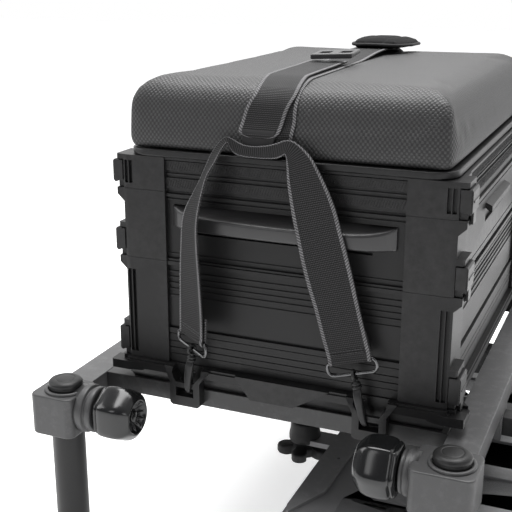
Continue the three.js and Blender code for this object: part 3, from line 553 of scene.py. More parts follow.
def remeshed(name, pts, faces, width, voxel):
    """A rounded closed form turned into an even mesh."""
    me = bpy.data.meshes.new(name)
    me.from_pydata([tuple(p) for p in to_m(pts)], [], [tuple(f) for f in faces])
    ob = bpy.data.objects.new(name, me)
    SCENE.collection.objects.link(ob)
    if width:
        b = ob.modifiers.new("b", "BEVEL")
        b.width = width / 1000.0
        b.segments = 8
        b.limit_method = "ANGLE"
    r = ob.modifiers.new("r", "REMESH")
    r.mode = "VOXEL"
    r.voxel_size = voxel / 1000.0
    r.use_smooth_shade = True
    dg = bpy.context.evaluated_depsgraph_get()
    new = bpy.data.meshes.new_from_object(ob.evaluated_get(dg))
    ob.modifiers.clear()
    ob.data = new
    bpy.data.meshes.remove(me)
    new.name = name
    return ob


def coords_mm(me):
    co = np.empty(len(me.vertices) * 3)
    me.vertices.foreach_get("co", co)
    co = co.reshape(-1, 3) * 1000.0
    co[:, 0] += OX
    return co


def make_cushion():
    # rows of a rounded outline: flat underside, straight wall, rounded upper rim, closed top
    R = 26.0
    rows = [(470.3, 6.0), (470.3, 1.0), (472.0, 0.0), (484.0, 0.0), (498.0, 0.0), (515.5, 0.0)]
    for i in range(1, 10):
        t = math.pi / 2 * i / 9
        rows.append((515.5 + R * math.sin(t), R * (1 - math.cos(t))))
    P, n = [], 36
    for z, inset in rows:
        P += [(x, y, z) for x, y in rounded_outline(-170 + inset, 170 - inset, -226 + inset, 226 - inset, max(7.0 - 0.1 * inset, 5.0))]
    F = grid_faces(len(rows), n, close_m=True)
    last = (len(rows) - 1) * n
    # both ends are fans of triangles round a middle point
    P += [(0.0, 0.0, rows[0][0]), (0.0, 0.0, rows[-1][0])]
    lo_mid, hi_mid = len(P) - 2, len(P) - 1
    for i in range(n):
        j = (i + 1) % n
        F.append((lo_mid, j, i))
        F.append((hi_mid, last + i, last + j))
    ob = remeshed("padded_seat", P, F, 0, 5.6)
    me = ob.data
    co = coords_mm(me)
    pins = np.where(co[:, 2] < 471.5)[0]
    settle(ob, pins, 2.2, 2.6)
    co = coords_mm(me)
    # the filled form is drawn to the board's outline and the seat's height
    lo, hi = co.min(0), co.max(0)
    for k, (a, b) in enumerate(((-172.0, 172.0), (-228.0, 228.0))):
        co[:, k] = a + (co[:, k] - lo[k]) * (b - a) / (hi[k] - lo[k])
    side = co[:, 2] > 471.5
    co[side, 2] = 471.5 + (co[side, 2] - 471.5) * (543.4 - 471.5) / (hi[2] - 471.5)
    co[:, 2] = np.maximum(co[:, 2], SEAT_Z[0] + 0.3)
    # tucked in where the cover turns under the board
    t = np.clip((482.0 - co[:, 2]) / 12.0, 0, 1)
    co[:, 0] -= np.sign(co[:, 0]) * 1.4 * t ** 2.2 * np.clip((np.abs(co[:, 0]) - 120) / 40, 0, 1)
    co[:, 0] *= np.where(co[:, 0] < 0, 1.018, 1.0)
    co[:, 1] -= np.sign(co[:, 1]) * 1.4 * t ** 2.2 * np.clip((np.abs(co[:, 1]) - 170) / 40, 0, 1)
    # the strap presses a shallow trough over the top and its two edges
    xc = -8.0 - 0.06 * (197.0 - np.abs(co[:, 1]))
    g = np.exp(-((co[:, 0] - xc) / 27.0) ** 4)
    edge = np.exp(-(((np.abs(co[:, 1]) - 213) / 24.0) ** 2)) * (co[:, 2] > 500)
    top = (co[:, 2] > 520) * np.clip((228 - np.abs(co[:, 1])) / 20, 0, 1)
    co[:, 2] -= g * (1.0 * top + 1.5 * edge)
    co[:, 1] -= np.sign(co[:, 1]) * g * 1.5 * edge
    out = co.copy()
    out[:, 0] -= OX
    me.vertices.foreach_set("co", (out / 1000.0).ravel())
    me.update()
    # UVs in metres along the cover
    nrm = np.empty(len(me.polygons) * 3)
    me.polygons.foreach_get("normal", nrm)
    nrm = nrm.reshape(-1, 3)
    def arc(c, flat, z):
        a = np.abs(c)
        th = np.arctan2(np.maximum(a - flat, 0), np.maximum(z - CZ, 1e-6))
        s = np.where(z >= CZ, np.where(a <= flat, a, flat + SEAT_R * th), flat + SEAT_R * math.pi / 2 + (CZ - z))
        return np.sign(c) * s
    main = np.c_[co[:, 0], arc(co[:, 1], CY, co[:, 2])]
    side = np.c_[co[:, 1], arc(co[:, 0], CX, co[:, 2])]
    lay = me.uv_layers.new(name="cloth")
    idx = np.empty(len(me.loops), int)
    me.loops.foreach_get("vertex_index", idx)
    tot = np.empty(len(me.polygons), int)
    me.polygons.foreach_get("loop_total", tot)
    use_side = (np.abs(nrm[:, 0]) > np.abs(nrm[:, 1])) & (np.abs(nrm[:, 0]) > nrm[:, 2])
    sel = np.repeat(use_side, tot)
    uv = np.where(sel[:, None], side[idx], main[idx]) / 1000.0
    lay.data.foreach_set("uv", uv.ravel())
    use(ob, "cover")
    sm = ob.modifiers.new("even", "SMOOTH")
    sm.factor = 0.5
    sm.iterations = 1
    sub = ob.modifiers.new("fine", "SUBSURF")
    sub.levels = 1
    sub.render_levels = 1
    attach(ob, BOX)
    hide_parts("seat_cushion")
    return ob


cushion = make_cushion()
bpy.context.view_layer.update()
_dg = bpy.context.evaluated_depsgraph_get()
CUSHION_TREE = BVHTree.FromObject(cushion, _dg)


def on_cushion(x, y, z, ny, nz, off):
    """The point of the cushion met from outside along a normal in Y and Z, standing off by off mm."""
    n = Vector((0, ny, nz)).normalized()
    p = Vector(((x - OX) / 1000, y / 1000, z / 1000))
    hit, _, _, _ = CUSHION_TREE.ray_cast(p + n * 0.03, -n, 0.08)
    if hit is None:
        hit = p
    q = hit + n * (off / 1000)
    return (q.x * 1000 + OX, q.y * 1000, q.z * 1000)


# ------------------------------------------------------------------- webbing
def ribbon(name, left, right, thick, key, slot, body=BOX, replaces=(), flip=False, start=0.0, cup=0.0):
    """A woven strap between two edge lines, with rounded edges and raised selvedge lines."""
    left, right = np.asarray(left, float), np.asarray(right, float)
    n = len(left)
    mid = (left + right) / 2
    tan = np.gradient(mid, axis=0)
    tan /= np.linalg.norm(tan, axis=1)[:, None]
    lat = right - left
    wid = np.linalg.norm(lat, axis=1)
    lat /= wid[:, None]
    nor = np.cross(lat, tan)
    nor /= np.linalg.norm(nor, axis=1)[:, None]
    run = np.r_[0, np.cumsum(np.linalg.norm(np.diff(mid, axis=0), axis=1))] + start
    full = 47.0
    # across the strap: offset from the middle, and height above the middle plane
    k = thick / 2
    us = [-1.0, -0.985, -0.95, -0.90, -0.85, -0.80, -0.6, -0.4, -0.2, 0, 0.2, 0.4, 0.6, 0.80, 0.85, 0.90, 0.95, 0.985, 1.0]
    hs = [0.0, 0.75, 1.35, 1.5, 1.35, 1.0, 1, 1, 1, 1, 1, 1, 1, 1.0, 1.35, 1.5, 1.35, 0.75, 0.0]
    section = [(u, h * k) for u, h in zip(us, hs)] + [(u, -h * k) for u, h in list(zip(us, hs))[-2:0:-1]]
    pts, uvs = [], []
    for i in range(n):
        # a strap that spans less than its width is cupped, its middle standing off
        bow = 0.5 * math.sqrt(max(0.0, (full / 2) ** 2 - (wid[i] / 2) ** 2)) if wid[i] < full - 0.5 else 0.0
        for u, h in section:
            b = cup * bow * (1 - u * u)
            pts.append(mid[i] + lat[i] * (u * wid[i] / 2) + nor[i] * (h + b))
            uvs.append((u * full / 2, run[i]))
    m = len(section)
    faces = grid_faces(n, m, close_m=True)
    faces.append(tuple(range(m))[::-1])
    faces.append(tuple((n - 1) * m + q for q in range(m)))
    ob = put(name, pts, faces, key, slot, body=body, replaces=replaces, uvs=uvs, flip=flip)
    return ob


def upper_strap():
    """Two layers on each side: the outer one turns in above the lower strap, the inner one runs down behind it."""
    T = 0.95
    half = 22.7

    def lay(name, rows, n, replaces=(), tongue=None):
        c = np.asarray(spline(rows, n), float)
        w = np.full(len(c), half)
        if tongue:
            # the end narrows to a rounded tongue between these two heights
            k = np.clip((tongue[0] - c[:, 2]) / (tongue[0] - tongue[1]), 0, 1)
            w = half * np.sqrt(np.clip(1 - (k * 0.97) ** 3.2, 0.01, 1))
        side = w[:, None] * np.array([1.0, 0, 0])
        return ribbon(name, c - side, c + side, 1.5, "webbing", "webbing", replaces=replaces)

    def wall(sy, places, off=3.3):
        return [on_cushion(x, sy * 228, z, sy, 0, off) for x, z in places]

    def turn(sy, xs, off):
        out = []
        for k, x in enumerate(xs):
            t = math.radians(12 + k * 13)
            out.append(on_cushion(x, sy * (CY + SEAT_R * math.sin(t)), CZ + SEAT_R * math.cos(t), sy * math.sin(t), math.cos(t), off))
        return out

    # near side, outer layer, from the buckle down
    rows = [on_cushion(x, y, 543, 0, 1, off) for y, x, off in (
        (-34, -16.8, 5.0), (-60, -16.6, 4.6), (-85, -16.4, 4.0), (-110, -16.0, 3.7), (-135, -15.2, 3.5), (-160, -13.8, 3.4), (-178, -12.3, 3.3), (-193, -10.6, 3.3))]
    rows += turn(-1, (-9.4, -8.9, -9.0, -9.9, -11.9, -14.0, -16.0), 3.2)
    rows += wall(-1, ((-17.6, 510), (-19.2, 503.5), (-20.6, 497.5), (-21.2, 494.0), (-21.4, 491.6), (-21.4, 489.8)))
    lay("upper_strap_outer_near", rows, 190, ("strap_top",), tongue=(500.0, 489.8))
    # the inner layer, over the whole seat
    rows = wall(-1, ((-8.8, 490.4), (-8.0, 494.6), (-7.4, 500), (-6.8, 507)), T)
    rows += turn(-1, (-6.6, -6.4, -6.2, -6.2, -6.4, -6.6, -6.8)[::1], T)[::-1]
    rows += [on_cushion(x, y, 543, 0, 1, T) for y, x in (
        (-192, -7.0), (-176, -7.4), (-150, -8.2), (-112, -9.4), (-85, -10.4), (-50, -12.0), (-25, -13.0))]
    rows += [on_cushion(x, y, 543, 0, 1, off) for y, x, off in (
        (0, -13.6, T), (20, -14.2, 1.4), (45, -14.6, 3.0), (75, -14.8, 5.2), (105, -14.6, 6.6), (135, -14.2, 6.4), (165, -13.6, 4.2), (190, -12.8, 1.8))]
    rows += turn(1, (-12.4, -12.2, -12.0, -12.0, -12.2, -12.4, -12.8), T)
    rows += wall(1, ((-13.0, 507), (-13.3, 500), (-13.6, 494.6), (-14.0, 490.4)), T)
    lay("upper_strap_inner", rows, 330)
    # far side, outer layer, ending under the pad
    rows = [on_cushion(x, y, 543, 0, 1, off) for y, x, off in ((146, -13.8, 8.6), (165, -13.6, 6.4), (180, -13.2, 4.4), (193, -12.8, 3.4))]
    rows += turn(1, (-12.6, -12.6, -12.8, -13.2, -13.8, -14.6, -15.6), 3.2)
    rows += wall(1, ((-17.2, 510), (-18.8, 503.5), (-20.2, 497.5), (-21.0, 494.0), (-21.2, 491.6), (-21.2, 489.8)))
    lay("upper_strap_outer_far", rows, 130, tongue=(500.0, 489.8))
    # a dark sewn tab behind each tongue carries the lower strap
    for sy in (-1, 1):
        c = np.array([(-21.2, sy * 230.6, 498), (-21.3, sy * 230.8, 492), (-21.4, sy * 231.4, 486), (-21.5, sy * 232.8, 480), (-21.5, sy * 233.6, 475)])
        w = np.array([18, 18, 17, 15, 14.0])[:, None] * np.array([1, 0, 0])
        ribbon("strap_tab_" + ("near" if sy < 0 else "far"), c - w, c + w, 1.4, "binding", "webbing")


upper_strap()

ROWS = [
    [[-109.5, -238.5, 279], [-70.5, -262, 285]],
    [[-108.3, -239.4, 305], [-70.3, -263, 312]],
    [[-106.6, -240.4, 345], [-72.0, -264, 352]],
    [[-104.6, -241.2, 372], [-73.2, -265, 380]],
    [[-101.8, -242.6, 398], [-72.6, -266.5, 402]],
    [[-97.2, -243.6, 414], [-70.6, -266, 419]],
    [[-89.0, -243.4, 429], [-68.0, -262, 438]],
    [[-81.0, -242.2, 444], [-65.0, -256.5, 454]],
    [[-75.2, -240.0, 458], [-60.5, -250, 465]],
    [[-69.6, -237.8, 471.5], [-58.4, -244.5, 472.6]],
    [[-62.6, -236.4, 482.4], [-54.8, -240.8, 480.2]],
    [[-54.6, -235.6, 489.6], [-51.2, -238.4, 484.6]],
    [[-47.6, -235.2, 488.6], [-48.4, -237.6, 478.6]],
    [[-41.0, -235.0, 485.6], [-43.6, -237.2, 473.6]],
    [[-33.5, -235.0, 483.2], [-35.0, -237.0, 471.6]],
    [[-22.0, -235.0, 482.8], [-22.0, -236.8, 471.0]],
    [[-10.0, -235.0, 484.6], [-10.0, -236.8, 471.2]],
    [[0.0, -235.2, 487.6], [-1.0, -237.0, 472.0]],
    [[7.0, -235.4, 490.4], [5.6, -237.4, 474.6]],
    [[13.0, -235.6, 491.4], [9.0, -238.0, 477.0]],
    [[19.6, -236.0, 489.8], [10.6, -238.2, 475.0]],
    [[27.0, -236.4, 485.2], [10.9, -238.2, 471.2]],
    [[37.0, -238.0, 476.6], [11.6, -238.8, 465]],
    [[46.2, -240.0, 463.4], [12.6, -240.2, 453.6]],
    [[56.0, -242.2, 447.4], [15.8, -242.4, 436.4]],
    [[65.0, -244.2, 428.6], [20.4, -244.4, 415.4]],
    [[72.0, -245.2, 406.8], [26.2, -245.4, 391.6]],
    [[78.2, -245.2, 385.8], [31.2, -245.4, 369.6]],
    [[84.6, -244.6, 361.6], [37.8, -244.8, 346]],
    [[90.2, -243.8, 338], [44.6, -244.0, 324.6]],
    [[96.6, -242.8, 313], [51.6, -243.0, 298.6]],
    [[103.4, -241.6, 287], [58.6, -241.6, 273.6]],
]
RINGS = {
    # lower bar's middle, turn about Z, tilt about Y
    "front": ((86.2, -239.5, 260.8), 0.0, 0.287),
    "rear": ((-91.5, -246.2, 262.2), -0.54, -0.1),
}
RING_W, RING_H, RING_WIRE = 26.6, 14.6, 1.75


def ring_frame(end):
    at, turn, tilt = RINGS[end]
    return Matrix.Translation(at) @ Matrix.Rotation(turn, 4, "Z") @ Matrix.Rotation(-tilt, 4, "Y")


def lower_strap(flip):
    rows = np.array(ROWS)
    # the two ends wrap round the rings' upper bars and are sewn to themselves
    def wrap(end):
        M = ring_frame(end)
        r = RING_WIRE + 1.0
        pts = []
        for t in np.linspace(0, math.pi, 9):
            y, z = -r * math.cos(t), -r * math.sin(t)
            pts.append([list(M @ Vector((-23.3, y, RING_H + z))), list(M @ Vector((23.3, y, RING_H + z)))])
        for h in (6, 14, 22, 27):
            back = r - 0.2 - 0.6 * h / 27
            pts.append([list(M @ Vector((-23.3, back, RING_H + h))), list(M @ Vector((23.3, back, RING_H + h)))])
        return pts
    a = wrap("rear")
    b = wrap("front")
    body = rows.tolist()
    # the front ring's edges run the other way round: its first edge is at +X
    head = [[p[0], p[1]] for p in a][::-1]
    tail = [[p[1], p[0]] for p in b]
    pts = np.array(head + body + tail)
    pts = pts.reshape(len(pts), 6)
    n = 340
    # even spacing along the strap
    mid = (pts[:, :3] + pts[:, 3:]) / 2
    dense = spline(pts, 3000)
    dm = (dense[:, :3] + dense[:, 3:]) / 2
    L = np.r_[0, np.cumsum(np.linalg.norm(np.diff(dm, axis=0), axis=1))]
    want = np.linspace(0, L[-1], n)
    s = np.array([np.interp(want, L, dense[:, k]) for k in range(6)]).T
    return ribbon("lower_strap_" + ("far" if flip else "near"), s[:, 3:], s[:, :3], 1.5, "webbing", "webbing",
                  replaces=("strap_far" if flip else "strap_near",), flip=flip), L[-1]


for flip in (False, True):
    strap, STRAP_LEN = lower_strap(flip)


def stitches(end, flip):
    """Two rows of stitches that close the strap's end round its ring."""
    M = ring_frame(end)
    s = Shape()
    def stitch(x0, z0, x1, z1):
        c = ((x0 + x1) / 2, (z0 + z1) / 2)
        path = [(x0, -3.1, z0), (x0 * 0.7 + x1 * 0.3, -3.75, z0 * 0.7 + z1 * 0.3), (x0 * 0.3 + x1 * 0.7, -3.75, z0 * 0.3 + z1 * 0.7), (x1, -3.1, z1)]
        s.tube([M @ Vector(p) for p in path], 0.38, seg=6)
    for z in (RING_H + 8.5, RING_H + 11.5):
        x = -19.0
        while x < 18.0:
            stitch(x, z, x + 2.3, z)
            x += 3.1
    return s.put("stitches_%s_%s" % (end, "far" if flip else "near"), "thread", "webbing", flip=flip)


# --------------------------------------------------------------- rings, hooks
def ring(end, flip):
    M = ring_frame(end)
    w, h, r = RING_W, RING_H, 6.4
    loop = []
    for cx, cz, a0 in ((w - r, r, -90), (w - r, h - r, 0), (-w + r, h - r, 90), (-w + r, r, 180)):
        for a in np.linspace(a0, a0 + 90, 8):
            t = math.radians(a)
            loop.append((cx + r * math.cos(t), 0, cz + r * math.sin(t)))
        if a0 in (-90, 90):
            pass
    # extra points along the long bars
    pts = []
    m = len(loop)
    for i in range(m):
        p, q = np.array(loop[i]), np.array(loop[(i + 1) % m])
        d = np.linalg.norm(q - p)
        k = max(1, int(d / 4))
        for j in range(k):
            pts.append(p + (q - p) * j / k)
    world = [M @ Vector(p) for p in pts]
    y = M.to_3x3() @ Vector((0, 1, 0))
    s = Shape().tube([list(p) for p in world], RING_WIRE, seg=16, closed=True, up=tuple(y))
    k = "%s_%s" % (end, "far" if flip else "near")
    return s.put("ring_" + k, "metal", "clip_metal", flip=flip, replaces=("strap_ring_" + k,))


HOOKS = {"front": (86.2, 260.8, -239.5, 0.0, -0.26), "rear": (-91.5, 262.2, -246.2, -0.54, 0.15)}


def hook(end, flip):
    """Snap hook: an eye round the ring, a swivel barrel with two collars, a flat tapering body and a sprung gate."""
    tx, tz, ty, ring_turn, turn = HOOKS[end]
    y0, L = -239.5, 57.2
    lean = (ty - y0) / 48.0
    F = Matrix.Translation((tx, y0, tz)) @ Matrix.Rotation(turn, 4, "Y")
    def W(p):
        x, y, z = p
        return tuple(F @ Vector((x, y + lean * z + (ty - y0), z)))
    s = Shape()
    # eye
    eye = []
    for t in np.linspace(0, 2 * math.pi, 40, endpoint=False):
        y, z = 4.3 * math.sin(t), -1.4 + 5.0 * math.cos(t)
        v = Matrix.Rotation(ring_turn, 4, "Z") @ Vector((0, y, z))
        eye.append(W(v))
    s.tube(eye, [1.55 + 0.5 * max(0, -math.cos(t)) for t in np.linspace(0, 2 * math.pi, 40, endpoint=False)], seg=14, closed=True, up=(1, 0, 0))
    # swivel barrel and collars
    prof = [(0, -5.2), (2.6, -5.2), (3.2, -6.0), (3.2, -7.4), (2.7, -8.0), (2.7, -8.8), (4.4, -9.2), (4.9, -9.9), (4.9, -10.9), (4.4, -11.6),
            (3.4, -11.8), (3.4, -12.4), (4.6, -12.8), (5.2, -13.6), (5.2, -14.7), (4.6, -15.5), (3.6, -16.2), (0, -16.6)]
    b = Shape().lathe(prof, (0, 0, 0), seg=40)
    s.add([W(p) for p in b.p], [f[::-1] for f in b.f])
    # body: a flat J that tapers down, round under the bar and up behind it
    path = [(0, 0.0, -14.2), (0, -1.6, -17.0), (0, -3.6, -21.0), (0, -4.9, -27.0), (0, -5.3, -34.0), (0, -5.2, -42.0), (0, -4.9, -48.5), (0, -3.6, -52.6),
            (0, -1.2, -54.9), (0, 1.6, -54.9), (0, 3.9, -52.8), (0, 4.9, -49.2), (0, 5.0, -46.5)]
    c = spline(path, 60)
    k = np.linspace(0, 1, 60)
    wx = np.interp(k, [0, 0.12, 0.25, 0.62, 0.75, 0.9, 1.0], [3.6, 4.5, 4.4, 2.6, 1.7, 1.4, 1.3])
    wy = np.interp(k, [0, 0.12, 0.3, 0.62, 0.8, 1.0], [2.4, 2.2, 1.9, 1.45, 1.2, 1.1])
    tan = np.gradient(c, axis=0)
    tan /= np.linalg.norm(tan, axis=1)[:, None]
    seg = 20
    pts = []
    for i in range(60):
        nrm = np.cross(tan[i], [1, 0, 0])
        for q in range(seg):
            t = 2 * math.pi * q / seg
            # squared-off section
            ct, st = math.cos(t), math.sin(t)
            e = 0.55
            a = math.copysign(abs(ct) ** e, ct) * wx[i]
            d = math.copysign(abs(st) ** e, st) * wy[i]
            pts.append(W(c[i] + np.array([a, 0, 0]) + nrm * d))
    faces = grid_faces(60, seg, close_m=True) + [tuple(range(seg))[::-1], tuple(59 * seg + q for q in range(seg))]
    s.add(pts, faces)
    # gate and its thumb stud
    gate = spline([(0, 5.1, -47.4), (0, 5.1, -40), (0, 4.4, -30), (0, 2.8, -22), (0, 1.2, -16.5)], 24)
    s.tube([W(p) for p in gate], np.interp(np.linspace(0, 1, 24), [0, 0.1, 1], [1.0, 1.3, 1.4]), seg=12, up=(1, 0, 0))
    stud = Shape().tube([(-3.7, 4.9, -31), (-3.3, 4.9, -31), (3.3, 4.9, -31), (3.7, 4.9, -31)], [0.9, 1.4, 1.4, 0.9], seg=12, up=(0, 1, 0))
    s.add([W(p) for p in stud.p], stud.f)
    key = "%s_%s" % (end, "far" if flip else "near")
    return s.put("snap_" + key, "hook", "clip_metal", body="snap_hook_" + key, flip=flip, replaces=("snap_hook_" + key,))


for end in ENDS:
    for flip in (False, True):
        ring(end, flip)
        hook(end, flip)
        stitches(end, flip)


# -------------------------------------------------------------- strap buckle
def buckle():
    """A flat slider with two windows, a rolled front lip and a bar between the windows."""
    xs = [-32.4, -26.6, -13.4, -2.0, 11.2, 16.4]
    ys = [-54.4, -49.6, -44.0, -28.4, -20.6]
    holes = {(1, 2), (3, 2)}
    nx, ny = len(xs), len(ys)
    pts, faces = [], []
    for lvl in (0, 1):
        for x in xs:
            for j, y in enumerate(ys):
                lift = 0.052 * (x + 33) + 0.10 * (y + 54)
                thick = 5.9 if j < 2 else 4.8
                pts.append((x, y, 550.5 + lift + (thick if lvl else 0.0)))
    def idx(l, i, j):
        return l * nx * ny + i * ny + j
    cells = [(i, j) for i in range(nx - 1) for j in range(ny - 1) if (i, j) not in holes]
    for i, j in cells:
        faces.append((idx(1, i, j), idx(1, i + 1, j), idx(1, i + 1, j + 1), idx(1, i, j + 1)))
        faces.append((idx(0, i, j + 1), idx(0, i + 1, j + 1), idx(0, i + 1, j), idx(0, i, j)))
        for (p, q), nb in ((((i, j), (i + 1, j)), (i, j - 1)), (((i + 1, j), (i + 1, j + 1)), (i + 1, j)),
                           (((i + 1, j + 1), (i, j + 1)), (i, j + 1)), (((i, j + 1), (i, j)), (i - 1, j))):
            if nb not in cells:
                faces.append((idx(0, *p), idx(0, *q), idx(1, *q), idx(1, *p)))
    ob = put("slider_buckle", pts, faces, "grip", "buckle_plastic", replaces=("strap_buckle",), smooth=False)
    bevel(ob, 1.5, 4, 35)
    return ob


buckle()


# -------------------------------------------------------------- shoulder pad
PAD = (-48.0, 31.0, 118.0, 211.0)


def pad_mid(x, y):
    """Height of the pad's middle surface: laid over the strap, its sides and near end drooping."""
    cx = (PAD[0] + PAD[1]) / 2
    u = (x - cx) / 45.0
    v = (y - 157.0) / 54.0
    return 555.4 - 3.4 * abs(u) ** 2.6 - 1.6 * max(0.0, v) ** 2 - 0.6 * max(0.0, -v) ** 2


def pad_taper(y):
    """The pad's near end narrows to the strap."""
    return 0.62 + 0.38 * np.clip((np.asarray(y, float) - 116) / 42.0, 0, 1) ** 0.8


def make_pad():
    xa, xb, ya, yb = PAD
    s = Shape().block(xa + 2, xb - 2, ya + 2, yb - 2, 500, 511.4)
    ob = remeshed("shoulder_pad_cover", s.p, s.f, 3.4, 3.6)
    me = ob.data
    co = coords_mm(me)
    rim = np.where((np.abs(co[:, 2] - 505.7) < 2.4) & ((co[:, 0] < xa + 4) | (co[:, 0] > xb - 4) | (co[:, 1] < ya + 4) | (co[:, 1] > yb - 4)))[0]
    settle(ob, rim, 3.0, 5.0, frames=14)
    co = coords_mm(me)
    # rounded corners, quilted channels, then laid over the strap
    cx, cy = (xa + xb) / 2, (ya + yb) / 2
    hw, hh, r = (xb - xa) / 2, (yb - ya) / 2, 16.0
    x, y = co[:, 0] - cx, co[:, 1] - cy
    qx, qy = np.abs(x) - (hw - r), np.abs(y) - (hh - r)
    out = np.hypot(np.maximum(qx, 0), np.maximum(qy, 0))
    k = np.where((qx > 0) & (qy > 0) & (out > r), r / np.maximum(out, 1e-6), 1.0)
    both = (qx > 0) & (qy > 0)
    co[both, 0] = cx + np.sign(x[both]) * (hw - r + qx[both] * k[both])
    co[both, 1] = cy + np.sign(y[both]) * (hh - r + qy[both] * k[both])
    h = co[:, 2] - 505.7
    edge = np.clip(np.minimum(hw - np.abs(co[:, 0] - cx), hh - np.abs(co[:, 1] - cy)) / 13.0, 0, 1)
    h *= 0.45 + 0.55 * np.sqrt(edge)
    for xc in (cx - 17, cx + 17):
        h -= np.where(h > 0, 1.5, 0) * np.exp(-((co[:, 0] - xc) / 1.8) ** 2)
    h = np.where(h < 0, h * 0.85, h)
    co[:, 0] = cx + (co[:, 0] - cx) * pad_taper(co[:, 1])
    co[:, 2] = [pad_mid(a, b) for a, b in co[:, :2]] + h
    o = co.copy()
    o[:, 0] -= OX
    me.vertices.foreach_set("co", (o / 1000.0).ravel())
    me.update()
    use(ob, "pad")
    sub = ob.modifiers.new("fine", "SUBSURF")
    sub.levels = sub.render_levels = 1
    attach(ob, BOX)
    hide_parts("shoulder_pad")
    # bound edge
    loop = []
    for sx, sy, a0 in ((1, -1, -90), (1, 1, 0), (-1, 1, 90), (-1, -1, 180)):
        for a in np.linspace(a0, a0 + 90, 9):
            t = math.radians(a)
            loop.append((cx + sx * (hw - r) + (r + 0.3) * math.cos(t), cy + sy * (hh - r) + (r + 0.3) * math.sin(t)))
    pts = []
    for i in range(len(loop)):
        p, q = np.array(loop[i]), np.array(loop[(i + 1) % len(loop)])
        n = max(1, int(np.linalg.norm(q - p) / 4))
        for j in range(n):
            a = p + (q - p) * j / n
            x = cx + (a[0] - cx) * float(pad_taper(a[1]))
            pts.append((x, a[1], pad_mid(x, a[1])))
    Shape().tube(pts, 1.9, seg=12, closed=True, up=(0, 0, 1)).put("shoulder_pad_binding", "binding", "pad_foam")


make_pad()


# ------------------------------------------------------------- side handles
def side_handle(flip):
    """Bow-shaped grip: a sloping top, a deep rolled front lip, hollow behind it for the fingers."""
    ctrl = [(-120.6, -225.0), (-117, -227.6), (-112, -231.0), (-104, -234.6), (-92, -238.2), (-74, -240.8), (-50, -242.2), (0, -242.8),
            (50, -242.2), (74, -240.8), (92, -238.2), (104, -234.6), (112, -231.0), (117, -227.6), (120.6, -225.0)]
    line = spline(ctrl, 121)
    pts, n, m = [], len(line), None
    for x, yo in line:
        yi = -222.4
        d = yi - yo
        top = 412.0 - 0.44 * d
        hollow = np.clip((94.5 - abs(x)) / 3.0, 0, 1)
        t = min(4.6, d * 0.45)
        zc = 388.7 + (399.4 - 388.7) * hollow
        yl = yo + t
        sec = [(yi, 412.0), (yo + 2.6, top + 0.8), (yo + 1.2, top - 0.2), (yo + 0.3, top - 1.4), (yo, top - 3.0), (yo, 391.2), (yo + 0.5, 389.6),
               (yo + 1.6, 388.7), (yl - 0.4, 388.7), (yl, 389.2), (yl, zc), (yi, zc)]
        if d < 5:
            s = max(0.2, d / 5)
            sec = [(yi, 412.0), (yo + 1.2 * s, top + 0.2), (yo + 0.6 * s, top - 0.4), (yo + 0.2 * s, top - 1.4), (yo, top - 3.0), (yo, 391.2),
                   (yo + 0.3 * s, 389.6), (yo + 0.8 * s, 388.9), (yo + t * 0.8, 388.7), (yo + t, 388.8), (yo + t, 388.9), (yi, 388.9)]
        m = len(sec)
        for y, z in sec:
            pts.append((x, y, z))
    faces = grid_faces(n, m, close_m=True)
    faces = [f[::-1] for f in faces]
    faces.append(tuple(range(m)))
    faces.append(tuple((n - 1) * m + q for q in range(m))[::-1])
    k = "far" if flip else "near"
    ob = put("grip_" + k, pts, faces, "grip", "black_plastic", flip=flip, replaces=("side_handle_" + k,))
    w = ob.modifiers.new("shade", "WEIGHTED_NORMAL")
    w.keep_sharp = True
    return ob


for flip in (False, True):
    side_handle(flip)


# ------------------------------------------------------------------ legwork
LEG_Y, KNOB_Z = 293.0, 193.0
LEG_X = {"rear": -222.0, "front": 199.5}


def hexed(t, r, power=22.0, flat=0.915):
    """Radius of a soft hexagon with corners at r."""
    d = (t + math.pi / 6) % (math.pi / 3) - math.pi / 6
    a = r * flat / max(math.cos(d), 1e-6)
    return (a ** -power + r ** -power) ** (-1 / power)


